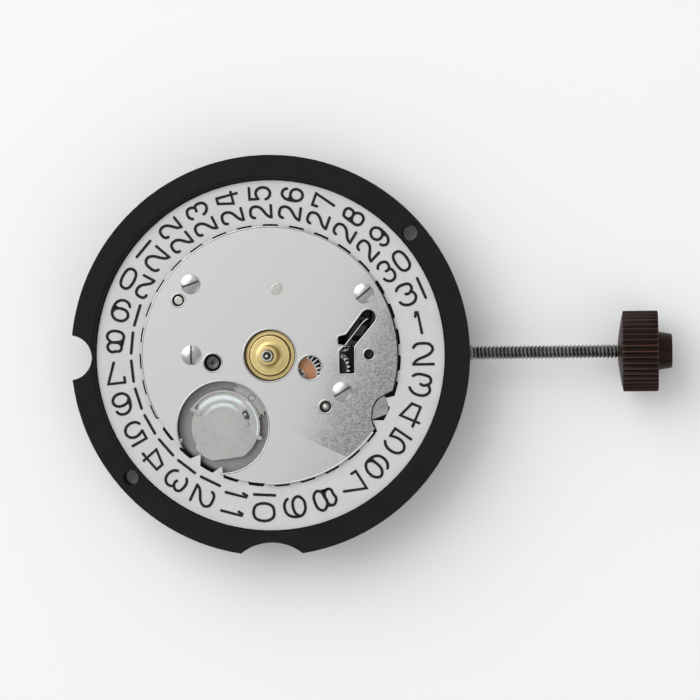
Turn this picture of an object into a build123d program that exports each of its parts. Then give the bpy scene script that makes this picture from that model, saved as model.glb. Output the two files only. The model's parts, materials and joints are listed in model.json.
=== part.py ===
from build123d import *
import math
import os

# Quartz watch movement with three hands and a date, 11 1/2 line size, lengths in millimetres.
# Origin on the centre axis at the level the dial rests on. +Z points out of the dial side,
# +X runs out along the stem, at three o'clock.

# Heights of the frame
flange_thickness = 0.50
movement_height = 3.0
cover_thickness = 0.10
inner_bottom = -2.60
rim_step_depth = 0.06
overrun = 0.5

# Running and seating clearances
running_clearance = 0.03
pivot_clearance = 0.02
seat_gap = 0.01
pocket_clearance = 0.12
ring_edge_clearance = 0.06

# Date ring
date_ring_teeth = 31
date_root_radius = 8.52
date_tooth_height = 0.65
date_tooth_base = 0.81
date_band_width = 2.84
date_ring_bottom = -0.47
date_ring_top = -0.27
print_height = 0.008
date_tip_radius = date_root_radius - date_tooth_height
date_ring_outer_radius = date_root_radius + date_band_width

# Rim and wall of the frame, outward from the date ring
rim_width = 1.58
rim_step_width = 0.23
flange_overhang = 0.20
wall_thickness = 0.90
rim_inner_radius = date_ring_outer_radius + ring_edge_clearance
rim_step_radius = rim_inner_radius + rim_step_width
frame_radius = rim_inner_radius + rim_width
casing_radius = frame_radius - flange_overhang
wall_inner_radius = casing_radius - wall_thickness
cover_bottom = -movement_height
cover_top = cover_bottom + cover_thickness
wall_bottom = cover_top

# Levels of the base plate
plate_top = -0.25
ring_seat_level = -0.50
recess_floor = -0.98
plate_bottom = -1.30
date_plate_bottom = plate_top

# Notches and dial foot holes of the frame
side_notch_radius = 1.46
side_notch_offset = 0.10
lower_notch_radius = 3.2
lower_notch_offset = 2.33
dial_foot_radius = 0.50
dial_foot_inset = 0.92
dial_foot_angles = (40.4, 220.5)
dial_foot_depth = 1.60
side_notch_centre = frame_radius + side_notch_offset
lower_notch_centre = frame_radius + lower_notch_offset
dial_foot_pitch_radius = frame_radius - dial_foot_inset

# Date numerals, as centre lines of the strokes
stroke_width = 0.125
numeral_height = 1.35
numeral_inset = 1.45
single_width = 1.31
narrow_width = 0.77
narrow_inner_offset = -0.64
narrow_outer_offset = 0.55
wide_width = 1.10
bar_inner_offset = -0.91
wide_outer_offset = 0.21
wide_inner_offset = -0.28
bar_outer_offset = 0.81
flag_inner_offset = -0.65
flag_outer_offset = 0.58
flag_width = 0.20
flag_drop = 0.22
numeral_radius = date_root_radius + numeral_inset

# Date plate
date_plate_inset = 0.22
date_plate_radius = date_root_radius - date_plate_inset
date_plate_top = -0.05
hub_opening_radius = 1.68
minute_window = (2.63, -0.81)
minute_window_radius = 0.77
date_window = (-3.10, -4.62)
date_window_radius = 2.98
slope_corner = (0.23, -4.46)
slope_end = (4.93, -6.58)
slope_depth = 0.05
slope_reach = 16.0
release_hole = (6.48, 0.0)
release_hole_radius = 0.34
bush_place = (-3.71, -0.43)
bush_hole_radius = 0.58
bush_radius = 0.40
bush_bore_radius = 0.21

# Keyless slot in the date plate, corners in order round its outline
keyless_slot = (
    (6.79, 2.02),
    (5.53, 0.52),
    (5.53, -1.24),
    (4.54, -1.24),
    (4.54, 0.28),
    (4.92, 0.60),
    (4.46, 0.66),
    (4.46, 1.19),
    (4.98, 1.30),
    (6.05, 2.72),
)
slot_end = (6.45, 2.40)
slot_end_radius = 0.51

# Date jumper
beak_tip = (7.56, -3.87)
beak_top = (7.39, -2.68)
beak_heel = (6.63, -4.21)
beak_back = (6.69, -3.48)
beak_face = (7.66, -3.25)
beak_opening = (
    (7.42, -2.66),
    (7.92, -2.40),
    (8.60, -1.60),
    (8.90, -5.60),
    (6.82, -4.92),
    (6.60, -4.24),
    (6.66, -3.46),
    (6.93, -2.95),
)
jumper_foot = (4.40, -5.30)
jumper_arm_width = 0.30
jumper_thickness = 0.18
jumper_gap = 0.13
jumper_room_radius = 1.15
beak_root = (
    (beak_heel[0] + beak_back[0] + beak_tip[0]) / 3,
    (beak_heel[1] + beak_back[1] + beak_tip[1]) / 3,
)

# Screws and pins of the date plate, each with its slot angle
screw_head_radius = 0.65
screw_head_height = 0.14
screw_shank_radius = 0.35
screw_shank_length = 0.75
screw_slot_width = 0.15
screw_slot_share = 0.65
screw_round_share = 0.7
post_round_share = 0.6
date_screws = (
    (-5.10, 4.69, 19.0),
    (-5.10, 0.08, 89.5),
    (6.18, 3.95, 39.5),
    (4.71, -2.40, 30.5),
)
locating_pin = (-5.91, 3.65)
locating_pin_radius = 0.29
locating_hole_radius = 0.40
flush_pin = (0.53, 4.32)
flush_pin_radius = 0.38
steel_post = (3.60, -3.35)
steel_post_radius = 0.29
steel_post_hole_radius = 0.39
pin_depth = 0.50
pin_bottom = date_plate_bottom - pin_depth

# Motion work
hub_module = 0.0864
minute_module = 0.09
date_module = 0.12
cannon_teeth = 12
minute_teeth = 36
minute_pinion_teeth = 10
hour_teeth = 40
minute_angle = -37.3
cannon_outer_radius = 0.35
cannon_bore_radius = 0.24
centre_pipe_radius = 0.22
centre_pipe_bore = 0.13
centre_pipe_top = -0.40
cannon_top = 1.45
cannon_leaf_top = -0.68
cannon_leaf_bottom = -0.92
hour_pipe_radius = 0.60
hour_bore_radius = 0.38
hour_pipe_top = 1.10
hour_hub_radius = 1.30
hour_hub_top = -0.20
hour_wheel_top = -0.50
hour_wheel_bottom = -0.62
hour_hub_round = 0.10
pipe_flare_radius = 0.72
pipe_flare_height = 0.12
seconds_radius = 0.10
seconds_top = 1.75
minute_wheel_top = -0.74
minute_wheel_bottom = -0.86
copper_radius = 1.26
copper_thickness = 0.03
stud_radius = 0.20
setting_teeth = 20
setting_wheel_bottom = -0.88
setting_wheel_top = -0.72
setting_angle = 10.06

# Date drive
between_date_teeth = 30
between_date_pinion_teeth = 12
date_wheel_teeth = 32
between_date_angle = -114.3
date_wheel_bottom = -0.80
date_wheel_top = -0.68
date_disc_radius = 2.10
date_disc_bottom = -0.48
date_disc_top = -0.38
date_hub_radius = 1.10
date_arm_radius = 2.34
date_arm_width = 0.13
date_arm_start = 150.0
date_arm_end = -17.0
date_finger_tip = 2.62
date_finger_width = 0.26
date_finger_top = -0.28
date_slot_radius = 1.28
date_slot_width = 0.16
corrector_place = (6.35, -1.72)
corrector_radius = 0.86
corrector_teeth = 7
corrector_root_radius = 0.55
corrector_hub_radius = 0.30

# Stem, clutch and crown
stem_level = -1.65
stem_radius = 0.50
thread_radius = 0.465
thread_pitch = 0.25
thread_depth = 0.13
thread_lead = 0.10
thread_length = 9.40
thread_grip = 1.90
thread_start = frame_radius + thread_lead
crown_start = thread_start + thread_length
thread_end = crown_start + thread_grip
stem_pivot_radius = 0.25
stem_inner_end = 2.2
stem_pivot_end = 3.7
stem_square = 0.64
stem_square_end = 6.05
groove_start = 6.28
groove_end = 6.68
groove_radius = 0.30
clutch_start = 4.75
clutch_end = 5.65
clutch_radius = 0.66
clutch_teeth = 14
clutch_tooth_depth = 0.10
clutch_groove_start = 5.06
clutch_groove_end = 5.26
clutch_groove_radius = 0.42
clutch_cavity_start = 3.5
clutch_cavity_radius = 0.85
pull_travel = 1.0
clutch_travel = 0.4
crown_back_length = 0.30
crown_rib_length = 2.30
crown_boss_length = 0.90
crown_rib_start = crown_start + crown_back_length
crown_rib_end = crown_rib_start + crown_rib_length
crown_end = crown_rib_end + crown_boss_length
crown_radius = 2.62
crown_back_radius = 1.60
crown_boss_radius = 1.23
crown_boss_end_radius = 1.09
crown_ribs = 30
crown_rib_depth = 0.14
crown_rib_width = 0.30
crown_edge = 0.18

# Yoke and setting lever
lever_bottom = -0.95
lever_top = -0.80
yoke_pin_near = (5.45, 1.05)
yoke_pin_far = (5.95, 2.05)
yoke_pin_radius = 0.15
yoke_width = 0.80
yoke_finger_width = 0.12
yoke_finger_reach = 0.0
yoke_finger_root = 0.70
yoke_finger_bottom = -1.16
yoke_wire_level = -0.70
yoke_wire_radius = 0.05
yoke_wire_start = (6.40, 2.35)
yoke_wire_bend = (6.05, 2.10)
yoke_wire_end = (4.85, 0.57)
yoke_wire_post_radius = 0.12
finger_middle = (clutch_groove_start + clutch_groove_end) / 2
setting_pivot = (6.98, 2.75)
setting_pivot_radius = 0.20
setting_width = 0.56
setting_pin_radius = 0.14
setting_pin_bottom = -1.30

# Going train
centre_module = 0.058
third_module = 0.0614
second_module = 0.076
rotor_module = 0.07
centre_teeth = 64
third_teeth = 60
second_teeth = 48
between_teeth = 40
leaf_teeth = 8
third_angle = 200.0
between_angle = 285.0
rotor_angle = 300.0
wheel_thickness = 0.10
centre_wheel_level = -1.56
centre_wheel_top = centre_wheel_level + wheel_thickness / 2
third_wheel_level = -1.86
second_wheel_level = -2.17
between_wheel_level = -2.41
arbor_radius = 0.08
pivot_radius = 0.05
pivot_length = 0.15
spoke_count = 4
spoke_hole_share = 0.32
arbor_collar_radius = 0.34
third_leaf_top = -1.46
second_leaf_top = -1.79
between_leaf_top = -2.10
rotor_leaf_bottom = -2.50

# Wells of the train in the frame
centre_well_radius = 2.30
third_well_radius = 2.15
between_well_radius = 1.75
rotor_well_radius = 1.75

# Motor
magnet_radius = 0.75
magnet_bottom = -1.90
magnet_top = -1.45
stator_hole_radius = 0.95
stator_bottom = -1.80
stator_top = -1.45
stator_width = 1.20
stator_eye_radius = 1.52
coil_axis_y = -7.60
stator_knee_y = -5.90
coil_half_length = 3.60
coil_core_half_length = 5.30
coil_core_width = 0.90
coil_core_thickness = 0.40
coil_radius_y = 1.10
coil_radius_z = 0.52
coil_cheek_thickness = 0.25
coil_cheek_rise = 0.10
coil_level = stator_bottom - coil_core_thickness / 2

# Battery and its contact
battery_centre = (1.20, 7.42)
battery_radius = 4.75
battery_top = -0.85
battery_bottom = cover_top
battery_cap_radius = 3.95
battery_cap_depth = 0.30
battery_gasket_width = 0.18
battery_edge_round = 0.20
battery_pocket_top = -0.76
contact_post = (-4.60, 5.90)
contact_post_radius = 0.22
contact_width = 0.90
contact_thickness = 0.08

# Electronics
board_thickness = 0.10
board_clearance = 0.20
board_radius = wall_inner_radius - board_clearance
crystal_radius = 0.60
crystal_length = 4.60
crystal_start = (-8.60, 0.20)
crystal_angle = 62.0
crystal_lead_radius = 0.09
crystal_lead_length = 0.70
crystal_lead_spacing = 0.50
chip_start = (-8.40, -3.10)
chip_end = (-6.00, -1.30)
chip_height = 0.60
chip_round = 0.20
sheet_thickness = 0.06
board_right = 3.0
board_low = -4.5

# Bridge, cover and their screws
bridge_thickness = 0.18
bridge_outline = (
    (-4.9, 1.5),
    (-1.6, 2.5),
    (2.2, 2.1),
    (3.4, 0.6),
    (3.6, -4.6),
    (1.4, -5.7),
    (-2.6, -4.6),
    (-4.9, -3.0),
)
bridge_margin = 0.25
bridge_screws = (
    (-4.30, -1.90, 25.0),
    (2.75, 0.78, 70.0),
    (-2.20, -3.60, 130.0),
    (-2.30, 1.90, 0.0),
)
bridge_screw_head_radius = 0.42
bridge_screw_head_height = 0.08
bridge_screw_shank_radius = 0.22
bridge_screw_length = 0.80
bridge_back = inner_bottom - bridge_thickness
bridge_screw_tip = bridge_back + bridge_screw_length
bush_outer_radius = 0.32
cover_inset = 0.60
cover_radius = casing_radius - cover_inset
cover_window_radius = 4.05
cover_screws = (
    (-6.50, 6.40, 15.0),
    (9.20, 3.40, 100.0),
    (-9.40, -4.60, 60.0),
    (8.40, -6.20, 140.0),
)
cover_boss_radius = 1.00
cover_screw_head_radius = 0.80
cover_screw_head_height = 0.12
cover_screw_shank_radius = 0.35
cover_screw_length = 1.00
coil_window_half = 3.30
coil_window_height = 1.50
crystal_window_start = (-8.10, 1.10)
crystal_window_end = (-6.70, 3.75)
crystal_window_width = 1.30

# Proportions of a gear tooth, as shares of the module and of the pitch
addendum_share = 0.9
dedendum_share = 1.2
root_half_share = 0.32
pitch_half_share = 0.21
tip_half_share = 0.09


# How round bodies are placed: standing on their base, centred on their axis
on_base = (Align.CENTER, Align.CENTER, Align.MIN)


def disc(radius, bottom, top, place=(0, 0)):
    """A plain cylinder between two levels."""
    body = Cylinder(radius, top - bottom, align=on_base)
    return Pos(place[0], place[1], bottom) * body


def hole(radius, place=(0, 0), bottom=cover_bottom, top=0.0):
    """A cylinder to cut with, longer than the stretch between two levels."""
    return disc(radius, bottom - overrun, top + overrun, place)


def hoop(outer, inner, bottom, top, place=(0, 0)):
    """A flat ring between two levels."""
    return disc(outer, bottom, top, place) - hole(inner, place, bottom, top)


def slab(points, bottom, top):
    """A flat plate whose outline is the polygon through the points."""
    outline = make_face(Polyline(*points, close=True))
    return Pos(0, 0, bottom) * extrude(outline, top - bottom)


def bar(first, last, width, bottom, top):
    """A flat bar with round ends between two points."""
    length = math.dist(first, last)
    middle = ((first[0] + last[0]) / 2, (first[1] + last[1]) / 2)
    outline = Rot(0, 0, direction(first, last)) * SlotCenterToCenter(length, width)
    return Pos(middle[0], middle[1], bottom) * extrude(outline, top - bottom)


def brick(start, end, bottom, top):
    """A box between two opposite corners and two levels."""
    size = (end[0] - start[0], end[1] - start[1], top - bottom)
    return Pos(start[0], start[1], bottom) * Box(*size, align=(Align.MIN, Align.MIN, Align.MIN))


def rod(radius, start, end, y=0.0, level=stem_level):
    """A round bar along X."""
    body = Cylinder(radius, end - start, align=on_base)
    return Pos(start, y, level) * Rot(0, 90, 0) * body


def polar(radius, angle, middle=(0, 0)):
    """The point at a radius and an angle in degrees round a centre."""
    turn = math.radians(angle)
    return (middle[0] + radius * math.cos(turn), middle[1] + radius * math.sin(turn))


def direction(first, last):
    """Angle in degrees from one point to the other."""
    return math.degrees(math.atan2(last[1] - first[1], last[0] - first[0]))


def distance(teeth_a, teeth_b, module):
    """Distance between the centres of two wheels in mesh."""
    return (teeth_a + teeth_b) * module / 2


def in_mesh(phase, teeth, other_teeth, toward):
    """First-tooth angle of a wheel in mesh with one whose first tooth stands at phase."""
    return toward + 180 + 180 / other_teeth - (phase - toward) * teeth / other_teeth


def wheel_room(teeth, module):
    """Radius of the recess in which a wheel turns."""
    return (teeth / 2 + addendum_share) * module + pocket_clearance


def gear(teeth, module, bottom, top, place, phase):
    """A toothed disc; each tooth has a root, a pitch and a tip width."""
    pitch = 360 / teeth
    middle = teeth * module / 2
    root = middle - dedendum_share * module
    tip = middle + addendum_share * module
    points = []
    for number in range(teeth):
        turn = phase + number * pitch
        points.append(polar(root, turn - root_half_share * pitch, place))
        points.append(polar(middle, turn - pitch_half_share * pitch, place))
        points.append(polar(tip, turn - tip_half_share * pitch, place))
        points.append(polar(tip, turn + tip_half_share * pitch, place))
        points.append(polar(middle, turn + pitch_half_share * pitch, place))
        points.append(polar(root, turn + root_half_share * pitch, place))
    return slab(points, bottom, top)


# Centres of the wheels, each from the one it meshes with
centre = (0.0, 0.0)
minute_place = polar(distance(cannon_teeth, minute_teeth, minute_module), minute_angle)
setting_place = polar(distance(minute_teeth, setting_teeth, minute_module), setting_angle, minute_place)
date_wheel_place = date_window
between_date_place = polar(distance(hour_teeth, between_date_teeth, hub_module), between_date_angle)
third_place = polar(distance(centre_teeth, leaf_teeth, centre_module), third_angle)
between_place = polar(distance(second_teeth, leaf_teeth, second_module), between_angle)
rotor_place = polar(distance(between_teeth, leaf_teeth, rotor_module), rotor_angle, between_place)

# First-tooth angles that put the teeth in mesh
cannon_phase = minute_angle
minute_phase = in_mesh(cannon_phase, cannon_teeth, minute_teeth, minute_angle)
hour_phase = minute_angle
minute_pinion_phase = in_mesh(hour_phase, hour_teeth, minute_pinion_teeth, minute_angle)
setting_phase = in_mesh(minute_phase, minute_teeth, setting_teeth, setting_angle)
between_date_phase = in_mesh(hour_phase, hour_teeth, between_date_teeth, between_date_angle)
date_toward = direction(between_date_place, date_wheel_place)
date_phase = in_mesh(date_toward, between_date_pinion_teeth, date_wheel_teeth, date_toward)
centre_phase = third_angle
third_pinion_phase = in_mesh(centre_phase, centre_teeth, leaf_teeth, third_angle)
third_phase = third_angle + 180
second_pinion_phase = in_mesh(third_phase, third_teeth, leaf_teeth, third_angle + 180)
second_phase = between_angle
between_pinion_phase = in_mesh(second_phase, second_teeth, leaf_teeth, between_angle)
between_phase = rotor_angle
rotor_phase = in_mesh(between_phase, between_teeth, leaf_teeth, rotor_angle)
ring_phase = direction(centre, beak_tip) + 180 / date_ring_teeth


def write(body, name):
    """Saves one node."""
    export_step(body, os.path.join("parts", name + ".step"))


def battery_well(body):
    """Cuts the room of the battery."""
    radius = battery_radius + pocket_clearance
    return body - disc(radius, cover_bottom - overrun, battery_pocket_top, battery_centre)


def contact_channel(body):
    """Cuts the channel of the negative contact and the well of its post."""
    width = contact_width + 2 * pocket_clearance
    body = body - bar(battery_centre, contact_post, width, plate_bottom - seat_gap, battery_pocket_top)
    return body - disc(width / 2, cover_bottom, plate_bottom, contact_post)


def crystal_place(along, extra):
    """The quartz can, or a larger one to cut with, from its outer end on."""
    body = Cylinder(crystal_radius + extra, along + 2 * extra, align=on_base)
    start = polar(-extra, crystal_angle, crystal_start)
    level = inner_bottom + crystal_radius + seat_gap
    return Pos(start[0], start[1], level) * Rot(0, 0, crystal_angle) * Rot(0, 90, 0) * body


def make_frame():
    """Black moulded frame: the rim round the date ring and the body behind the base plate."""
    body = disc(casing_radius, wall_bottom, -flange_thickness) + disc(frame_radius, -flange_thickness, 0)
    body = body - disc(rim_inner_radius, plate_bottom, overrun)
    body = body - disc(rim_step_radius, -rim_step_depth, overrun)
    body = body - disc(wall_inner_radius, cover_bottom, inner_bottom)
    tip = cover_bottom + cover_screw_length
    for x, y, turn in cover_screws:
        body = body + disc(cover_boss_radius, wall_bottom, inner_bottom, (x, y))
        body = body - disc(cover_screw_shank_radius, cover_bottom, tip, (x, y))
    body = body - hole(side_notch_radius, (-side_notch_centre, 0))
    body = body - hole(lower_notch_radius, (0, -lower_notch_centre))
    for angle in dial_foot_angles:
        place = polar(dial_foot_pitch_radius, angle)
        body = body - disc(dial_foot_radius, -dial_foot_depth, overrun, place)
    wells = (
        (centre, centre_well_radius),
        (third_place, third_well_radius),
        (between_place, between_well_radius),
        (rotor_place, rotor_well_radius),
    )
    for place, radius in wells:
        body = body - disc(radius, cover_bottom, plate_bottom, place)
    width = stator_width + 2 * pocket_clearance
    body = body - stator_legs(width, inner_bottom - overrun, plate_bottom)
    rise = coil_radius_y + coil_cheek_rise + pocket_clearance
    reach = coil_core_half_length + width / 2
    low = (-reach, coil_axis_y - rise)
    body = body - brick(low, (reach, coil_axis_y + rise), inner_bottom - overrun, plate_bottom)
    body = stem_holes(body)
    well = crystal_place(crystal_length + crystal_lead_length, pocket_clearance)
    body = body - well - Pos(0, 0, -crystal_radius) * well
    start = (chip_start[0] - pocket_clearance, chip_start[1] - pocket_clearance)
    end = (chip_end[0] + pocket_clearance, chip_end[1] + pocket_clearance)
    top = inner_bottom + chip_height + pocket_clearance
    body = body - brick(start, end, inner_bottom - overrun, top)
    for x, y, turn in bridge_screws:
        body = body - disc(bridge_screw_shank_radius, inner_bottom - overrun, bridge_screw_tip, (x, y))
    return contact_channel(battery_well(body))


def stem_holes(body):
    """Cuts the bearing of the stem, the cavity of the clutch pinion and the inner guide."""
    body = body - rod(stem_radius + running_clearance, clutch_cavity_start, frame_radius + overrun)
    body = body - rod(clutch_cavity_radius, clutch_cavity_start, stem_square_end)
    body = body - rod(stem_pivot_radius + running_clearance, 0, clutch_cavity_start + overrun)
    low = (clutch_cavity_start, -clutch_cavity_radius)
    high = (stem_square_end, clutch_cavity_radius)
    return body - brick(low, high, stem_level, recess_floor + overrun)


def make_main_plate():
    """Nickel-plated base plate: seat of the date ring, recesses of the wheels, and their studs."""
    body = disc(rim_inner_radius - seat_gap, plate_bottom, ring_seat_level)
    body = body + disc(date_tip_radius - 2 * running_clearance, ring_seat_level, plate_top)
    wells = (
        (centre, wheel_room(hour_teeth, hub_module)),
        (minute_place, wheel_room(minute_teeth, minute_module)),
        (setting_place, wheel_room(setting_teeth, minute_module)),
        (between_date_place, wheel_room(between_date_teeth, hub_module)),
        (corrector_place, corrector_radius + pocket_clearance),
        (date_wheel_place, date_window_radius - seat_gap),
    )
    for place, radius in wells:
        body = body - disc(radius, recess_floor, overrun, place)
    body = body - yoke_space() - lever_space() - jumper_space()
    body = stem_holes(body)
    body = contact_channel(battery_well(body))
    studs = (
        (minute_place, stud_radius, hour_wheel_top),
        (setting_place, stud_radius, setting_wheel_top),
        (between_date_place, stud_radius, hour_wheel_top),
        (date_wheel_place, stud_radius, date_disc_top),
        (corrector_place, stud_radius, date_ring_top),
        (yoke_pin_near, yoke_pin_radius, lever_top),
        (yoke_pin_far, yoke_pin_radius, lever_top),
        (setting_pivot, setting_pivot_radius, lever_top),
    )
    for place, radius, level in studs:
        body = body + disc(radius, recess_floor - seat_gap, level, place)
    body = body - hole(cannon_outer_radius + running_clearance)
    pivot_hole = pivot_radius + pivot_clearance
    for place in (third_place, between_place, rotor_place):
        body = body - disc(pivot_hole, plate_bottom - overrun, plate_bottom + pivot_length, place)
    for x, y, turn in date_screws:
        tip = plate_level(x, y) - screw_shank_length
        body = body - disc(screw_shank_radius, tip, overrun, (x, y))
    pins = (
        (locating_pin, locating_pin_radius),
        (flush_pin, flush_pin_radius),
        (steel_post, steel_post_radius),
    )
    for place, radius in pins:
        body = body - disc(radius, pin_bottom, overrun, place)
    return body - disc(bush_radius, recess_floor, overrun, bush_place)


def yoke_space():
    """Room in the base plate for the yoke and its travel."""
    near = (yoke_pin_near[0] - clutch_travel, yoke_pin_near[1])
    far = (yoke_pin_far[0] - clutch_travel, yoke_pin_far[1])
    width = yoke_width + 2 * pocket_clearance
    body = bar(yoke_pin_near, yoke_pin_far, width, recess_floor, overrun)
    body = body + bar(near, far, width, recess_floor, overrun)
    body = body + slab((near, far, yoke_pin_far, yoke_pin_near), recess_floor, overrun)
    finger = (finger_middle - clutch_travel, yoke_finger_root)
    return body + bar(finger, yoke_pin_near, width, recess_floor, overrun)


def lever_space():
    """Room in the base plate for the setting lever, its pin and their travel."""
    width = setting_width + 2 * pocket_clearance
    far = (release_hole[0] + pull_travel, 0)
    body = bar(setting_pivot, release_hole, width, recess_floor, overrun)
    body = body + bar(setting_pivot, far, width, recess_floor, overrun)
    body = body + bar(release_hole, far, width, recess_floor, overrun)
    path = 2 * (setting_pin_radius + pocket_clearance)
    return body + bar(release_hole, far, path, stem_level, recess_floor + overrun)


def jumper_space():
    """Room in the base plate for the jumper and its travel."""
    width = jumper_arm_width + 4 * jumper_gap
    arm = bar(jumper_foot, beak_back, width, ring_seat_level, overrun)
    middle = ((beak_back[0] + beak_tip[0]) / 2, (beak_back[1] + beak_tip[1]) / 2)
    return arm + disc(jumper_room_radius, ring_seat_level, overrun, middle)


def make_jumper():
    """Date jumper: a thin spring arm whose beak rests between two teeth of the date ring."""
    bottom = plate_top - jumper_thickness
    top = plate_top - seat_gap
    back = ThreePointArc(beak_heel, beak_back, beak_top)
    face = ThreePointArc(beak_top, beak_face, beak_tip)
    head = make_face(Wire([Line(beak_tip, beak_heel), back, face]))
    body = Pos(0, 0, bottom) * extrude(head, top - bottom)
    body = body + bar(jumper_foot, beak_root, jumper_arm_width, bottom, top)
    return body + disc(jumper_arm_width, ring_seat_level, top, jumper_foot)


def slope_line():
    """Length of the edge where the sloped part of the date plate begins, and its direction."""
    length = math.dist(slope_corner, slope_end)
    along = ((slope_end[0] - slope_corner[0]) / length, (slope_end[1] - slope_corner[1]) / length)
    return length, along


def slope_cut():
    """The part above the shallow slope, right of its edge."""
    length, along = slope_line()
    fall = slope_depth / length
    forward = Vector(along[0], along[1], -fall)
    across = Vector(-along[1], along[0], 0)
    start = (slope_corner[0], slope_corner[1], date_plate_top)
    plane = Plane(origin=start, x_dir=across, z_dir=forward.cross(across))
    size = 2 * slope_reach
    outline = Pos(size / 2, -size / 2) * Rectangle(size, size)
    if plane.y_dir.dot(forward) > 0:
        outline = Pos(size / 2, size / 2) * Rectangle(size, size)
    return extrude(plane * outline, overrun)


def plate_level(x, y):
    """Level on which a screw head rests on the date plate, sloped part included."""
    length, along = slope_line()
    offset = (x - slope_corner[0], y - slope_corner[1])
    forward = offset[0] * along[0] + offset[1] * along[1]
    across = offset[1] * along[0] - offset[0] * along[1]
    if across < 0 or forward < 0:
        return date_plate_top
    return date_plate_top - (forward - screw_head_radius) * slope_depth / length


def make_date_plate():
    """Thin sheet that keeps the date ring down, with its windows, slot and screw holes."""
    body = disc(date_plate_radius, date_plate_bottom, date_plate_top)
    body = body - slope_cut()
    holes = (
        (centre, hub_opening_radius),
        (minute_window, minute_window_radius),
        (date_window, date_window_radius),
        (release_hole, release_hole_radius),
        (bush_place, bush_hole_radius),
        (locating_pin, locating_hole_radius),
        (flush_pin, flush_pin_radius),
        (steel_post, steel_post_hole_radius),
        (slot_end, slot_end_radius),
    )
    for place, radius in holes:
        body = body - hole(radius, place)
    for x, y, turn in date_screws:
        body = body - hole(screw_shank_radius + running_clearance, (x, y))
    body = body - slab(keyless_slot, date_plate_bottom - overrun, date_plate_top + overrun)
    return body - slab(beak_opening, date_plate_bottom - overrun, date_plate_top + overrun)


def screw(head_radius, head_height, shank_radius, length, slot_turn):
    """Slotted screw with a rounded head; the head rests on level zero, the shank goes down."""
    head = disc(head_radius, 0, head_height)
    head = fillet(head.edges().group_by(Axis.Z)[-1], head_height * screw_round_share)
    reach = 2 * (head_radius + overrun)
    slot = Box(reach, screw_slot_width, head_height, align=on_base)
    slot = Pos(0, 0, head_height * (1 - screw_slot_share)) * Rot(0, 0, slot_turn) * slot
    return head + disc(shank_radius, -length, 0) - slot


def make_date_screws():
    """The four slotted screws that hold the date plate."""
    pieces = []
    for x, y, turn in date_screws:
        one = screw(screw_head_radius, screw_head_height, screw_shank_radius, screw_shank_length, turn)
        pieces.append(Pos(x, y, plate_level(x, y)) * one)
    return Compound(children=pieces)


def make_plate_pins():
    """Locating pins and the rounded steel post that come up through the date plate."""
    first = disc(locating_pin_radius, pin_bottom, date_plate_top - rim_step_depth, locating_pin)
    second = disc(flush_pin_radius, pin_bottom, date_plate_top, flush_pin)
    post = disc(steel_post_radius, pin_bottom, date_plate_top, steel_post)
    post = fillet(post.edges().group_by(Axis.Z)[-1], steel_post_radius * post_round_share)
    return Compound(children=[first, second, post])


def make_plate_bush():
    """Grey bush left of the centre with its bore."""
    return hoop(bush_radius, bush_bore_radius, recess_floor, date_plate_bottom, bush_place)


def make_date_ring():
    """Ring that carries the dates, with inner teeth like small triangles."""
    half = math.degrees(math.asin(date_tooth_base / 2 / date_root_radius))
    teeth = []
    for number in range(date_ring_teeth):
        turn = ring_phase + number * 360 / date_ring_teeth
        gap = 180 / date_ring_teeth
        teeth.append(polar(date_root_radius, turn - gap))
        teeth.append(polar(date_root_radius, turn - half))
        teeth.append(polar(date_tip_radius, turn))
        teeth.append(polar(date_root_radius, turn + half))
    body = disc(date_ring_outer_radius, date_ring_bottom, date_ring_top)
    return body - slab(teeth, date_ring_bottom - overrun, date_ring_top + overrun)


# Strokes of the digits as shares of their box: straight lines, smooth curves and closed loops
oval_shares = (
    (0.5, 1), (0.86, 0.9), (1, 0.65), (1, 0.35), (0.86, 0.1),
    (0.5, 0), (0.14, 0.1), (0, 0.35), (0, 0.65), (0.14, 0.9),
)
hook_shares = (
    (0.02, 0.8), (0.2, 0.97), (0.5, 1), (0.82, 0.95), (0.97, 0.74),
    (0.82, 0.5), (0.5, 0.34), (0.16, 0.18), (0.02, 0),
)
bowl_shares = (
    (0.06, 0.86), (0.26, 0.98), (0.6, 1), (0.92, 0.9), (0.97, 0.73),
    (0.85, 0.57), (0.5, 0.54),
)
belly_shares = (
    (0.82, 0.565), (0.97, 0.44), (1, 0.27), (0.86, 0.08), (0.56, 0),
    (0.2, 0.08), (0, 0.28),
)
five_shares = (
    (0.06, 0.58), (0.32, 0.67), (0.6, 0.69), (0.88, 0.58), (1, 0.35),
    (0.87, 0.11), (0.52, 0), (0.2, 0.05), (0, 0.22),
)
back_shares = (
    (0.95, 0.79), (0.76, 0.96), (0.5, 1), (0.18, 0.88), (0.01, 0.5),
    (0.06, 0.2), (0.28, 0.03), (0.56, 0),
)
front_shares = (
    (0.56, 0), (0.86, 0.09), (1, 0.3), (0.86, 0.52), (0.52, 0.59),
    (0.2, 0.52), (0.04, 0.34),
)
upper_shares = (
    (0.5, 1), (0.83, 0.94), (0.92, 0.77), (0.8, 0.6), (0.5, 0.55),
    (0.2, 0.6), (0.08, 0.77), (0.17, 0.94),
)
lower_shares = (
    (0.5, 0.55), (0.87, 0.47), (1, 0.27), (0.86, 0.07), (0.5, 0),
    (0.14, 0.07), (0, 0.27), (0.13, 0.47),
)
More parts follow.
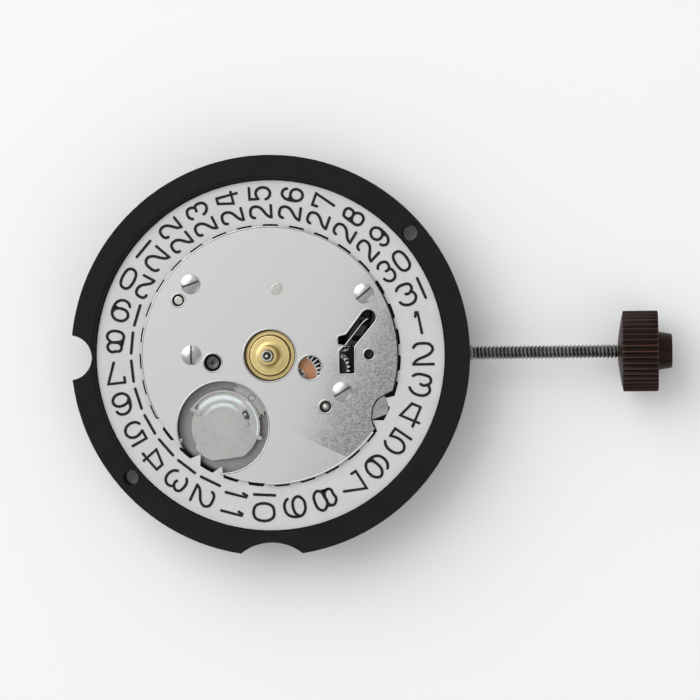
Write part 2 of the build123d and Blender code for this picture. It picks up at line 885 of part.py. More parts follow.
digit_stroke_shares = {
    "0": [("loop", oval_shares)],
    "2": [("curve", hook_shares), ("line", ((0, 0), (1, 0)))],
    "3": [("curve", bowl_shares), ("curve", belly_shares)],
    "4": [("line", ((0.77, 0), (0.77, 1))), ("line", ((0.77, 1), (0.31, 1), (0, 0.27), (1, 0.27)))],
    "5": [("line", ((1, 1), (0.06, 1), (0.06, 0.58))), ("curve", five_shares)],
    "6": [("curve", back_shares), ("curve", front_shares)],
    "7": [("line", ((0, 0.76), (0, 1), (1, 1), (0.54, 0)))],
    "8": [("loop", upper_shares), ("loop", lower_shares)],
}
digit_stroke_shares["9"] = [
    (kind, tuple((1 - x, 1 - y) for x, y in points)) for kind, points in digit_stroke_shares["6"]
]


def stroke_face(kind, points):
    """One printed stroke along a line, a curve or a closed loop."""
    if kind == "line":
        path = Polyline(*points)
    elif kind == "curve":
        path = Spline(*points)
    else:
        path = Spline(*points, periodic=True)
    ends = [] if kind == "loop" else [points[0], points[-1]]
    face = trace(path, stroke_width)
    for end in ends:
        face = face + Pos(end[0], end[1]) * Circle(stroke_width / 2)
    return face


def digit_faces(digit, width, radius):
    """Strokes of one digit, upright when read along +X, its middle at a radius."""
    pieces = []
    for kind, points in digit_stroke_shares[digit]:
        placed = [(radius + (x - 0.5) * width, (y - 0.5) * numeral_height) for x, y in points]
        pieces.append(stroke_face(kind, placed))
    return pieces


def one_face(radius, flagged):
    """The digit one: a plain bar, with a small flag where no wide digit stands beside it."""
    half = numeral_height / 2
    points = [(radius, -half), (radius, half)]
    if flagged:
        points.append((radius - flag_width / 2, half))
        points.append((radius - flag_width, half - flag_drop))
    return [stroke_face("line", points)]


def numeral_faces(number):
    """Strokes of one date, as it is laid out on the ring."""
    text = str(number)
    if text == "1":
        return one_face(numeral_radius, True)
    if text == "11":
        inner = one_face(numeral_radius + flag_inner_offset, True)
        return inner + one_face(numeral_radius + flag_outer_offset, True)
    if len(text) == 1:
        return digit_faces(text, single_width, numeral_radius)
    if text[0] == "1":
        inner = one_face(numeral_radius + bar_inner_offset, False)
        return inner + digit_faces(text[1], wide_width, numeral_radius + wide_outer_offset)
    if text[1] == "1":
        inner = digit_faces(text[0], wide_width, numeral_radius + wide_inner_offset)
        return inner + one_face(numeral_radius + bar_outer_offset, False)
    inner = digit_faces(text[0], narrow_width, numeral_radius + narrow_inner_offset)
    return inner + digit_faces(text[1], narrow_width, numeral_radius + narrow_outer_offset)


def make_numerals():
    """Printed dates 1 to 31 on the ring; the 2 stands at three o'clock."""
    pieces = []
    for number in range(1, date_ring_teeth + 1):
        turn = -(number - 2) * 360 / date_ring_teeth
        faces = numeral_faces(number)
        whole = faces[0]
        for more in faces[1:]:
            whole = whole + more
        print_solid = extrude(whole, print_height)
        pieces += (Pos(0, 0, date_ring_top) * Rot(0, 0, turn) * print_solid).solids()
    return Compound(children=pieces)


def make_hour_wheel():
    """Brass hour wheel with its raised hub and the pipe for the hour hand."""
    body = gear(hour_teeth, hub_module, hour_wheel_bottom, hour_wheel_top, centre, hour_phase)
    hub = disc(hour_hub_radius, hour_wheel_top, hour_hub_top)
    hub = fillet(hub.edges().group_by(Axis.Z)[-1], hour_hub_round)
    flare = Cone(pipe_flare_radius, hour_pipe_radius, pipe_flare_height, align=on_base)
    body = body + hub + Pos(0, 0, hour_hub_top) * flare
    body = body + disc(hour_pipe_radius, hour_hub_top, hour_pipe_top)
    return body - hole(hour_bore_radius, centre, hour_wheel_bottom, hour_pipe_top)


def make_cannon_pinion():
    """Cannon pinion: leaves for the minute wheel and the pipe for the minute hand."""
    body = gear(cannon_teeth, minute_module, cannon_leaf_bottom, cannon_leaf_top, centre, cannon_phase)
    body = body + disc(cannon_outer_radius, centre_wheel_top + seat_gap, cannon_top)
    return body - hole(cannon_bore_radius, centre, plate_bottom, cannon_top)


def make_minute_wheel():
    """Minute wheel with the pinion that turns the hour wheel."""
    bottom = minute_wheel_bottom
    top = minute_wheel_top
    body = gear(minute_teeth, minute_module, bottom, top, minute_place, minute_phase)
    leaves = minute_pinion_teeth
    pinion = gear(leaves, hub_module, top, hour_wheel_top, minute_place, minute_pinion_phase)
    return body + pinion - hole(stud_radius + running_clearance, minute_place)


def make_minute_disc():
    """Copper-coloured disc riveted on the minute wheel."""
    inner = (minute_pinion_teeth / 2 + 1) * hub_module
    top = minute_wheel_top + copper_thickness
    return hoop(copper_radius, inner, minute_wheel_top, top, minute_place)


def make_setting_wheel():
    """Setting wheel between the clutch pinion and the minute wheel."""
    bottom = setting_wheel_bottom
    top = setting_wheel_top
    body = gear(setting_teeth, minute_module, bottom, top, setting_place, setting_phase)
    return body - hole(stud_radius + running_clearance, setting_place)


def make_between_date_wheel():
    """Intermediate date wheel, turned by the hour wheel."""
    top = hour_wheel_top - seat_gap
    place = between_date_place
    teeth = between_date_teeth
    body = gear(teeth, hub_module, hour_wheel_bottom, top, place, between_date_phase)
    leaves = between_date_pinion_teeth
    pinion = gear(leaves, date_module, date_wheel_bottom, hour_wheel_bottom, place, date_toward)
    return body + pinion - hole(stud_radius + running_clearance, place)


def make_date_wheel():
    """Date driving wheel of pale plastic, one turn a day, with its curved slot."""
    bottom = date_wheel_bottom
    body = gear(date_wheel_teeth, date_module, bottom, date_wheel_top, date_wheel_place, date_phase)
    body = body + disc(date_hub_radius, date_wheel_top, date_disc_bottom, date_wheel_place)
    body = body + disc(date_disc_radius, date_disc_bottom, date_disc_top, date_wheel_place)
    slot = hoop(
        date_slot_radius + date_slot_width / 2,
        date_slot_radius - date_slot_width / 2,
        date_disc_bottom,
        date_disc_top + overrun,
        date_wheel_place,
    )
    low = (date_wheel_place[0] - date_disc_radius, date_wheel_place[1] + date_slot_radius / 2)
    high = (date_wheel_place[0] + date_disc_radius, date_wheel_place[1] + date_disc_radius)
    body = body - (slot & brick(low, high, date_disc_bottom, date_disc_top + overrun))
    return body - hole(stud_radius + running_clearance, date_wheel_place)


def make_date_finger():
    """Spring arm with the finger that moves the date ring on by one tooth at midnight."""
    outer = date_arm_radius + date_arm_width / 2
    arm = hoop(outer, outer - date_arm_width, date_disc_top, date_finger_top, date_wheel_place)
    wedge = [date_wheel_place]
    steps = 4
    for number in range(steps + 1):
        turn = date_arm_start + (date_arm_end - date_arm_start) * number / steps
        wedge.append(polar(outer * 2, turn, date_wheel_place))
    arm = arm & slab(wedge, date_disc_top, date_finger_top)
    root_in = polar(date_disc_radius - date_finger_width, date_arm_start, date_wheel_place)
    root_out = polar(date_arm_radius, date_arm_start, date_wheel_place)
    arm = arm + bar(root_in, root_out, date_finger_width, date_disc_top, date_finger_top)
    tip_in = polar(date_arm_radius, date_arm_end, date_wheel_place)
    tip_out = polar(date_finger_tip - date_finger_width / 2, date_arm_end, date_wheel_place)
    return arm + bar(tip_in, tip_out, date_finger_width, date_disc_top, date_finger_top)


def make_corrector():
    """Date corrector wheel that the crown turns in its middle position."""
    points = []
    for number in range(corrector_teeth):
        turn = number * 360 / corrector_teeth
        points.append(polar(corrector_radius, turn, corrector_place))
        points.append(polar(corrector_root_radius, turn + 180 / corrector_teeth, corrector_place))
    body = slab(points, date_ring_bottom, date_ring_top - seat_gap)
    body = body + disc(corrector_hub_radius, lever_bottom, date_ring_bottom, corrector_place)
    return body - hole(stud_radius + running_clearance, corrector_place)


def make_stem():
    """Winding stem: pivot, square, groove for the setting lever, bearing and threaded tail."""
    body = rod(stem_pivot_radius, stem_inner_end, stem_pivot_end)
    length = stem_square_end - stem_pivot_end
    middle = (Align.MIN, Align.CENTER, Align.CENTER)
    square = Box(length, stem_square, stem_square, align=middle)
    body = body + Pos(stem_pivot_end, 0, stem_level) * square
    body = body + rod(stem_radius, stem_square_end, groove_start)
    body = body + rod(groove_radius, groove_start, groove_end)
    body = body + rod(stem_radius, groove_end, thread_start)
    return body + make_thread()


def make_thread():
    """Threaded tail of the stem, its crests and roots turned along its length."""
    turns = int((crown_start - thread_start) / thread_pitch)
    points = [(thread_start, 0)]
    for number in range(turns):
        start = thread_start + number * thread_pitch
        points.append((start, thread_radius - thread_depth))
        points.append((start + thread_pitch / 2, thread_radius))
    end = thread_start + turns * thread_pitch
    points.append((end, thread_radius - thread_depth))
    points.append((thread_end, thread_radius - thread_depth))
    points.append((thread_end, 0))
    turned = revolve(make_face(Polyline(*points, close=True)), Axis.X)
    return Pos(0, 0, stem_level) * turned


def make_crown():
    """Brown moulded crown with ribs round its rim and a plain boss."""
    points = (
        (crown_start, 0),
        (crown_start, crown_back_radius),
        (crown_rib_start, crown_radius - crown_edge),
        (crown_rib_start + crown_edge, crown_radius),
        (crown_rib_end - crown_edge, crown_radius),
        (crown_rib_end, crown_radius - crown_edge),
        (crown_rib_end, crown_boss_radius),
        (crown_end, crown_boss_end_radius),
        (crown_end, 0),
    )
    body = revolve(make_face(Polyline(*points, close=True)), Axis.X)
    middle = (crown_rib_start + crown_rib_end) / 2
    height = crown_radius + crown_rib_width / 2 - crown_rib_depth
    for number in range(crown_ribs):
        groove = Cylinder(crown_rib_width / 2, crown_rib_end - crown_rib_start + 2 * overrun)
        groove = Pos(middle, 0, height) * Rot(0, 90, 0) * groove
        body = body - Rot(number * 360 / crown_ribs, 0, 0) * groove
    body = Pos(0, 0, stem_level) * body
    return body - rod(thread_radius - thread_depth, crown_start - overrun, thread_end)


def make_clutch():
    """Sliding pinion with teeth round it and the groove for the yoke."""
    body = rod(clutch_radius, clutch_start, clutch_end)
    waist = rod(clutch_radius + overrun, clutch_groove_start, clutch_groove_end)
    body = body - (waist - rod(clutch_groove_radius, clutch_groove_start, clutch_groove_end))
    middle = (clutch_start + clutch_end) / 2
    for number in range(clutch_teeth):
        place = polar(clutch_radius, (number + 0.5) * 360 / clutch_teeth)
        notch = Cylinder(clutch_tooth_depth, clutch_end - clutch_start + overrun)
        body = body - Pos(middle, place[0], stem_level + place[1]) * Rot(0, 90, 0) * notch
    side = stem_square + 2 * running_clearance
    return body - Pos(middle, 0, stem_level) * Box(clutch_end - clutch_start + overrun, side, side)


def make_yoke():
    """Clutch yoke that slides on two guide pins, its finger in the groove of the clutch pinion."""
    body = bar(yoke_pin_near, yoke_pin_far, yoke_width, lever_bottom, lever_top)
    half = yoke_finger_width / 2
    root = (finger_middle, yoke_finger_root + yoke_finger_width)
    body = body + bar(root, yoke_pin_near, yoke_width / 2, lever_bottom, lever_top)
    low = (finger_middle - half, yoke_finger_reach)
    body = body + brick(low, (finger_middle + half, yoke_finger_root), yoke_finger_bottom, lever_top)
    width = 2 * (yoke_pin_radius + running_clearance)
    for place in (yoke_pin_near, yoke_pin_far):
        end = (place[0] + clutch_travel, place[1])
        body = body - bar(place, end, width, lever_bottom - overrun, lever_top + overrun)
    return body


def make_yoke_wire():
    """Wire spring that presses on the yoke, bent at its fixed end."""
    level = yoke_wire_level
    path = Polyline((*yoke_wire_end, level), (*yoke_wire_bend, level), (*yoke_wire_start, level))
    first = Plane(origin=path @ 0, z_dir=path % 0)
    body = sweep(first * Circle(yoke_wire_radius), path=path, transition=Transition.RIGHT)
    low = level - 2 * yoke_wire_radius
    high = level + 2 * yoke_wire_radius
    return body + disc(yoke_wire_post_radius, low, high, yoke_wire_start)


def make_setting_lever():
    """Setting lever that follows the stem, its pin in the groove of the stem."""
    body = bar(setting_pivot, release_hole, setting_width, lever_bottom, lever_top)
    body = body + disc(setting_pin_radius, setting_pin_bottom, lever_bottom, release_hole)
    return body - hole(setting_pivot_radius + running_clearance, setting_pivot)


def train_wheel(place, teeth, module, level, phase):
    """A train wheel with round openings."""
    low = level - wheel_thickness / 2
    high = level + wheel_thickness / 2
    wheel = gear(teeth, module, low, high, place, phase)
    rim = (teeth / 2 - dedendum_share) * module
    for number in range(spoke_count):
        spot = polar((rim + arbor_collar_radius) / 2, (number + 0.5) * 360 / spoke_count, place)
        wheel = wheel - hole((rim - arbor_collar_radius) * spoke_hole_share, spot)
    return wheel


def leaf_pinion(place, module, level, top, phase):
    """The pinion that stands on a train wheel."""
    return gear(leaf_teeth, module, level + wheel_thickness / 2, top, place, phase)


def arbor(place):
    """Steel arbor of a train wheel with a pivot at each end."""
    body = disc(arbor_radius, inner_bottom + seat_gap, plate_bottom - seat_gap, place)
    top = plate_bottom + pivot_length - seat_gap
    return body + disc(pivot_radius, inner_bottom - pivot_length, top, place)


def make_centre_wheel():
    """Centre wheel, its pipe inside the cannon pinion that it carries by friction."""
    low = centre_wheel_level - wheel_thickness / 2
    body = gear(centre_teeth, centre_module, low, centre_wheel_top, centre, centre_phase)
    body = body + disc(centre_pipe_radius, low, centre_pipe_top)
    rim = (centre_teeth / 2 - dedendum_share) * centre_module
    for number in range(spoke_count):
        spot = polar((rim + cannon_outer_radius) / 2, (number + 0.5) * 360 / spoke_count)
        body = body - hole((rim - cannon_outer_radius) * spoke_hole_share, spot)
    return body - hole(centre_pipe_bore)


def make_third_wheel():
    """Third wheel; its pinion meshes with the centre wheel."""
    place = third_place
    level = third_wheel_level
    wheel = train_wheel(place, third_teeth, third_module, level, third_phase)
    pinion = leaf_pinion(place, centre_module, level, third_leaf_top, third_pinion_phase)
    return wheel + pinion + arbor(place)


def make_second_wheel():
    """Second wheel; its long arbor runs up through the centre and carries the second hand."""
    level = second_wheel_level
    wheel = train_wheel(centre, second_teeth, second_module, level, second_phase)
    pinion = leaf_pinion(centre, third_module, level, second_leaf_top, second_pinion_phase)
    wheel = wheel + pinion + disc(seconds_radius, inner_bottom + seat_gap, seconds_top)
    return wheel + disc(pivot_radius, inner_bottom - pivot_length, inner_bottom + seat_gap)


def make_between_wheel():
    """Intermediate wheel between the rotor and the second wheel."""
    place = between_place
    level = between_wheel_level
    wheel = train_wheel(place, between_teeth, rotor_module, level, between_phase)
    pinion = leaf_pinion(place, second_module, level, between_leaf_top, between_pinion_phase)
    return wheel + pinion + arbor(place)


def make_rotor_pinion():
    """Rotor arbor with its pinion."""
    bottom = rotor_leaf_bottom
    top = between_leaf_top
    leaves = gear(leaf_teeth, rotor_module, bottom, top, rotor_place, rotor_phase)
    return leaves + arbor(rotor_place)


def make_rotor_magnet():
    """Round two-pole magnet pressed on the rotor arbor."""
    return hoop(magnet_radius, arbor_radius, magnet_bottom, magnet_top, rotor_place)


def stator_legs(width, bottom, top):
    """The two bent legs of the stator, from the rotor out to the ends of the coil core."""
    knees = [(side * coil_core_half_length, stator_knee_y) for side in (-1, 1)]
    ends = [(side * coil_core_half_length, coil_axis_y) for side in (-1, 1)]
    body = bar(knees[0], ends[0], width, bottom, top) + bar(knees[1], ends[1], width, bottom, top)
    for knee in knees:
        body = body + bar(rotor_place, knee, width, bottom, top)
    return body


def make_stator():
    """Soft-iron stator: an eye round the rotor and two legs down to the coil core."""
    body = disc(stator_eye_radius, stator_bottom, stator_top, rotor_place)
    body = body + stator_legs(stator_width, stator_bottom, stator_top)
    return body - hole(stator_hole_radius, rotor_place)


def make_coil_core():
    """Soft-iron core of the coil; its ends lie under the legs of the stator."""
    end = (coil_core_half_length, coil_axis_y)
    start = (-coil_core_half_length, coil_axis_y)
    return bar(start, end, coil_core_width, stator_bottom - coil_core_thickness, stator_bottom)


def coil_round(radius_y, radius_z, start, end):
    """A flattened round body along the coil axis."""
    plane = Plane(origin=(start, coil_axis_y, coil_level), x_dir=(0, 1, 0), z_dir=(1, 0, 0))
    return extrude(plane * Ellipse(radius_y, radius_z), end - start) - make_coil_core()


def make_coil_winding():
    """Fine copper wire wound on the core, as one body."""
    return coil_round(coil_radius_y, coil_radius_z, -coil_half_length, coil_half_length)


def make_coil_cheeks():
    """Insulating cheeks at both ends of the winding."""
    radius_y = coil_radius_y + coil_cheek_rise
    radius_z = coil_radius_z + coil_cheek_rise / 2
    far = coil_half_length + coil_cheek_thickness
    left = coil_round(radius_y, radius_z, -far, -coil_half_length)
    right = coil_round(radius_y, radius_z, coil_half_length, far)
    return Compound(children=[left, right])


def make_battery_can():
    """Positive steel can of the button cell."""
    body = disc(battery_radius, battery_bottom, battery_top, battery_centre)
    body = fillet(body.edges().group_by(Axis.Z)[0], battery_edge_round)
    inner = battery_cap_radius + battery_gasket_width
    return body - disc(inner, battery_top - battery_cap_depth, battery_top + overrun, battery_centre)


def make_battery_cap():
    """Negative lid of the button cell."""
    return disc(battery_cap_radius, battery_top - battery_cap_depth, battery_top, battery_centre)


def make_battery_gasket():
    """Sealing ring between the can and the lid."""
    outer = battery_cap_radius + battery_gasket_width
    return hoop(outer, battery_cap_radius, battery_top - battery_cap_depth, battery_top, battery_centre)


def make_negative_contact():
    """Flat contact above the battery lid, with a post down to the circuit board."""
    bottom = battery_pocket_top - contact_thickness
    body = bar(battery_centre, contact_post, contact_width, bottom, battery_pocket_top)
    return body + disc(contact_post_radius, inner_bottom, bottom, contact_post)


def make_crystal_can():
    """Round can of the quartz crystal."""
    return crystal_place(crystal_length, 0)


def make_crystal_leads():
    """Two wires of the quartz crystal, bent down to the circuit board."""
    level = inner_bottom + crystal_radius + seat_gap
    pieces = []
    for side in (-0.5, 0.5):
        start = polar(crystal_length, crystal_angle, crystal_start)
        shift = polar(side * crystal_lead_spacing, crystal_angle + 90)
        start = (start[0] + shift[0], start[1] + shift[1])
        end = polar(crystal_lead_length, crystal_angle, start)
        wire = Cylinder(crystal_lead_radius, crystal_lead_length, align=on_base)
        wire = Pos(start[0], start[1], level) * Rot(0, 0, crystal_angle) * Rot(0, 90, 0) * wire
        inner_end = polar(crystal_lead_length - crystal_lead_radius, crystal_angle, start)
        pieces.append(wire + disc(crystal_lead_radius, inner_bottom, level, inner_end))
    return Compound(children=pieces)


def make_chip():
    """Black block over the integrated circuit."""
    body = brick(chip_start, chip_end, inner_bottom, inner_bottom + chip_height)
    return fillet(body.edges().group_by(Axis.Z)[-1], chip_round)


def grown_outline(margin):
    """The outline of the train bridge, moved out by a margin from its middle."""
    count = len(bridge_outline)
    middle = (sum(x for x, y in bridge_outline) / count, sum(y for x, y in bridge_outline) / count)
    points = []
    for point in bridge_outline:
        points.append(polar(math.dist(middle, point) + margin, direction(middle, point), middle))
    return points


def back_sheet(bottom, top, radius):
    """A sheet behind the frame that leaves the train bridge, the battery and the screw bosses free."""
    body = disc(radius, bottom, top)
    body = body - slab(grown_outline(bridge_margin), bottom - overrun, top + overrun)
    body = body - hole(battery_radius + pocket_clearance, battery_centre)
    body = body - hole(side_notch_radius + casing_radius - wall_inner_radius, (-side_notch_centre, 0))
    body = body - hole(lower_notch_radius + casing_radius - wall_inner_radius, (0, -lower_notch_centre))
    for x, y, turn in cover_screws:
        body = body - hole(cover_boss_radius + pocket_clearance, (x, y))
    return body


def train_side_free(body):
    """Leaves the keyless side free and keeps the largest piece of a sheet."""
    low = (board_right, board_low)
    high = (wall_inner_radius, wall_inner_radius)
    body = body - brick(low, high, cover_bottom, inner_bottom + overrun)
    return sorted(body.solids(), key=lambda solid: solid.volume)[-1]


def make_board():
    """Thin circuit board with the circuit, the crystal and the coil ends on it."""
    bottom = inner_bottom - board_thickness
    return train_side_free(back_sheet(bottom, inner_bottom, board_radius))


def make_sheet():
    """Thin insulating sheet between the circuit board and the cover."""
    top = inner_bottom - board_thickness
    radius = board_radius - pocket_clearance
    return train_side_free(back_sheet(top - sheet_thickness, top, radius))


def make_bridge():
    """Train bridge that holds the lower pivots."""
    body = slab(bridge_outline, bridge_back, inner_bottom)
    for place in (centre, third_place, between_place, rotor_place):
        body = body - hole(bush_outer_radius, place)
    for x, y, turn in bridge_screws:
        body = body - hole(bridge_screw_shank_radius + running_clearance, (x, y))
    return body


def make_bushes():
    """Bearing bushes of the train bridge."""
    pieces = []
    bore = pivot_radius + pivot_clearance
    for place in (centre, third_place, between_place, rotor_place):
        pieces.append(hoop(bush_outer_radius, bore, bridge_back, inner_bottom, place))
    return Compound(children=pieces)


def screws_at(places, level, one):
    """Equal slotted screws seen from the back, each turned to its slot angle."""
    pieces = []
    for x, y, turn in places:
        pieces.append(Pos(x, y, level) * Rot(180, 0, 0) * Rot(0, 0, turn) * one)
    return Compound(children=pieces)


def make_bridge_screws():
    """The screws of the train bridge."""
    radius = bridge_screw_shank_radius
    length = bridge_screw_length
    one = screw(bridge_screw_head_radius, bridge_screw_head_height, radius, length, 0)
    return screws_at(bridge_screws, bridge_back, one)


def make_cover_screws():
    """The screws of the back cover."""
    radius = cover_screw_shank_radius
    one = screw(cover_screw_head_radius, cover_screw_head_height, radius, cover_screw_length, 0)
    return screws_at(cover_screws, cover_bottom, one)


def make_cover():
    """Back cover that clamps the battery, with windows for the coil and the crystal."""
    body = disc(cover_radius, cover_bottom, cover_top)
    body = body - hole(cover_window_radius, battery_centre)
    body = body - hole(side_notch_radius + pocket_clearance, (-side_notch_centre, 0))
    body = body - hole(lower_notch_radius + pocket_clearance, (0, -lower_notch_centre))
    left = (-coil_window_half, coil_axis_y)
    right = (coil_window_half, coil_axis_y)
    low = cover_bottom - overrun
    high = cover_top + overrun
    body = body - bar(left, right, coil_window_height, low, high)
    start = crystal_window_start
    body = body - bar(start, crystal_window_end, crystal_window_width, low, high)
    for place in (centre, third_place, between_place, rotor_place):
        body = body - hole(bush_outer_radius, place)
    for x, y, turn in cover_screws:
        body = body - hole(cover_screw_shank_radius + running_clearance, (x, y))
    return body


if __name__ == "__main__":
    os.makedirs("parts", exist_ok=True)
    nodes = {
        "frame": make_frame(),
        "main_plate": make_main_plate(),
        "date_plate": make_date_plate(),
        "date_plate_screws": make_date_screws(),
        "plate_pins": make_plate_pins(),
        "plate_bush": make_plate_bush(),
        "date_jumper": make_jumper(),
        "date_ring": make_date_ring(),
        "date_numerals": make_numerals(),
        "hour_wheel": make_hour_wheel(),
        "cannon_pinion": make_cannon_pinion(),
        "minute_wheel": make_minute_wheel(),
        "minute_wheel_disc": make_minute_disc(),
        "setting_wheel": make_setting_wheel(),
        "intermediate_date_wheel": make_between_date_wheel(),
        "date_wheel": make_date_wheel(),
        "date_finger": make_date_finger(),
        "date_corrector": make_corrector(),
        "stem": make_stem(),
        "crown": make_crown(),
        "clutch_pinion": make_clutch(),
        "yoke": make_yoke(),
        "yoke_spring": make_yoke_wire(),
        "setting_lever": make_setting_lever(),
        "centre_wheel": make_centre_wheel(),
        "third_wheel": make_third_wheel(),
        "second_wheel": make_second_wheel(),
        "intermediate_wheel": make_between_wheel(),
        "rotor_pinion": make_rotor_pinion(),
        "rotor_magnet": make_rotor_magnet(),
        "stator": make_stator(),
        "coil_core": make_coil_core(),
        "coil_winding": make_coil_winding(),
        "coil_cheeks": make_coil_cheeks(),
        "battery_can": make_battery_can(),
        "battery_cap": make_battery_cap(),
        "battery_gasket": make_battery_gasket(),
        "negative_contact": make_negative_contact(),
        "crystal_can": make_crystal_can(),
        "crystal_leads": make_crystal_leads(),
        "circuit_chip": make_chip(),
        "circuit_board": make_board(),
        "insulating_sheet": make_sheet(),
        "train_bridge": make_bridge(),
        "bridge_bushes": make_bushes(),
        "bridge_screws": make_bridge_screws(),
        "back_cover": make_cover(),
        "cover_screws": make_cover_screws(),
    }
    for name, body in nodes.items():
        write(body, name)
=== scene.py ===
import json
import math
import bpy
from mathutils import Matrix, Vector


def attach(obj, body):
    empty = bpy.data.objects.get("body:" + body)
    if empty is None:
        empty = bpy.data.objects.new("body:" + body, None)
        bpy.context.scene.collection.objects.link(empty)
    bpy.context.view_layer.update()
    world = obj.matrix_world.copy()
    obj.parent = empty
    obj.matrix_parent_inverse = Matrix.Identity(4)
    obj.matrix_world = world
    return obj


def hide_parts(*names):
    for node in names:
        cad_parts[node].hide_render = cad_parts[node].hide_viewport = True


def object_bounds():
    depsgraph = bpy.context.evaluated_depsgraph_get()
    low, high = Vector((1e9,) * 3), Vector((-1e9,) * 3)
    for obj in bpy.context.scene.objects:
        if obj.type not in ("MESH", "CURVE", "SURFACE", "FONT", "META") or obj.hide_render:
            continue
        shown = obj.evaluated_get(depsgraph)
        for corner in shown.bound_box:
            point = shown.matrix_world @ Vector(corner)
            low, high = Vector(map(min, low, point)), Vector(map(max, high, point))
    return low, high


bl_info = {
    "name": "Quartz watch movement",
    "version": (1, 0, 0),
    "blender": (4, 5, 0),
    "location": "3D View > Sidebar > Movement",
    "description": "Dresses the packed model of a three-hand quartz movement with a date",
    "category": "Object",
}

import bmesh
import bpy
import numpy as np
from bpy.props import FloatProperty, FloatVectorProperty, IntProperty, PointerProperty
from mathutils import Matrix, Vector

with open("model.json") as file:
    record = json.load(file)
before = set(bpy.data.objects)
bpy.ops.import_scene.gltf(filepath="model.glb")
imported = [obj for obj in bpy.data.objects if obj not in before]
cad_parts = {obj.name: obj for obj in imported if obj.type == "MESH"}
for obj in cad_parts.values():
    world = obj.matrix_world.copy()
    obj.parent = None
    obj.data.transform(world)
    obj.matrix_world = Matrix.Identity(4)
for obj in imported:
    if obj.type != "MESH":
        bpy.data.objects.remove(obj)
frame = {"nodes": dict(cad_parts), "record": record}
cad_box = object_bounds()

# Shapes below are worked out in millimetres and put into the meshes in metres.
MM = 0.001
BODY_OF = {node: body for body, nodes in frame["record"]["behaviour"]["bodies"].items() for node in nodes}

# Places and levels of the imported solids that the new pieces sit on, in millimetres.
PLATE_TOP = -0.05
PLATE_RADIUS = 8.30
SLOPE_CORNER = np.array((0.23, -4.46))
SLOPE_END = np.array((4.93, -6.58))
SLOPE_DEPTH = 0.05
SLOPE_RUN = np.linalg.norm(SLOPE_END - SLOPE_CORNER)
SLOPE_AHEAD = (SLOPE_END - SLOPE_CORNER) / SLOPE_RUN
HUB_OPENING = ((0.0, 0.0), 1.68)
MINUTE_WINDOW = ((2.63, -0.81), 0.77)
DATE_WINDOW = ((-3.10, -4.62), 2.98)
BUSH_PLACE = (-3.71, -0.43)
LOCATING_PIN_PLACE = (-5.91, 3.65)
POST_PLACE = (3.60, -3.35)
RIVET_PLACE = (0.53, 4.32)
SMALL_OPENINGS = (((6.48, 0.0), 0.34), (BUSH_PLACE, 0.58), (LOCATING_PIN_PLACE, 0.40), (POST_PLACE, 0.39))
YOKE_WIRE_PATH = ((4.85, 0.57), (6.05, 2.10), (6.40, 2.35))
KEYLESS_SLOT = (
    (5.53, 0.52), (5.53, -1.24), (4.54, -1.24), (4.54, 0.28),
    (4.92, 0.60), (4.46, 0.66), (4.46, 1.19), (4.98, 1.30),
)
SLOT_END = (6.45, 2.40)
SLOT_END_RADIUS = 0.51
BEAK_OPENING = (
    (7.42, -2.66), (7.92, -2.40), (8.60, -1.60), (8.90, -5.60),
    (6.82, -4.92), (6.60, -4.24), (6.66, -3.46), (6.93, -2.95),
)
DATE_SCREWS = ((-5.10, 4.69, 19.0), (-5.10, 0.08, 89.5), (6.18, 3.95, 39.5), (4.71, -2.40, 30.5))
COVER_SCREWS = ((-6.50, 6.40, 15.0), (9.20, 3.40, 100.0), (-9.40, -4.60, 60.0), (8.40, -6.20, 140.0))
DATE_HEAD = {"radius": 0.65, "height": 0.135, "slot_width": 0.15}
COVER_HEAD = {"radius": 0.79, "height": 0.085, "slot_width": 0.20}
COVER_BOTTOM = -3.0
HOUR_WHEEL_LEVELS = (-0.62, -0.50)
HOUR_PIPE_RADII, HOUR_PIPE_TOP = (0.38, 0.60), 1.10
MINUTE_PIPE_RADII, MINUTE_PIPE_TOP = (0.24, 0.35), 1.45
FOOT_HOLE_BOTTOMS = ((9.20, 7.83, -1.60), (-9.19, -7.85, -1.60))
MINUTE_PLACE = (1.718, -1.309)
TRAIN_ANGLE = -37.3
STEM_LEVEL = -1.65
THREAD_START = 13.10
THREAD_END = 24.40


def linear(text):
    """Linear colour of an sRGB hex value: its low end is a straight line, the rest a power of 2.4."""
    levels = np.array([int(text[i : i + 2], 16) for i in (1, 3, 5)]) / 255
    curve = np.where(levels <= 0.04045, levels / 12.92, ((levels + 0.055) / 1.055) ** 2.4)
    return (*curve.tolist(), 1.0)


# Surfaces


def grid_faces(rows, columns, close_rows=False, close_columns=False):
    """Quads of a grid: each joins two neighbouring rows and two neighbouring columns."""
    down = np.arange(rows if close_rows else rows - 1)
    across = np.arange(columns if close_columns else columns - 1)
    i, j = np.meshgrid(down, across, indexing="ij")
    k, m = (i + 1) % rows, (j + 1) % columns
    quads = np.stack((i * columns + j, i * columns + m, k * columns + m, k * columns + j), -1)
    return quads.reshape(-1, 4)


def circle(place, radius, steps=96, first=0.0, last=360.0):
    """Points at one distance from a place; a full turn leaves out the repeated last point."""
    whole = abs(last - first) >= 360.0
    turn = np.radians(np.linspace(first, last, steps, endpoint=not whole))
    return np.array(place) + radius * np.stack((np.cos(turn), np.sin(turn)), -1)


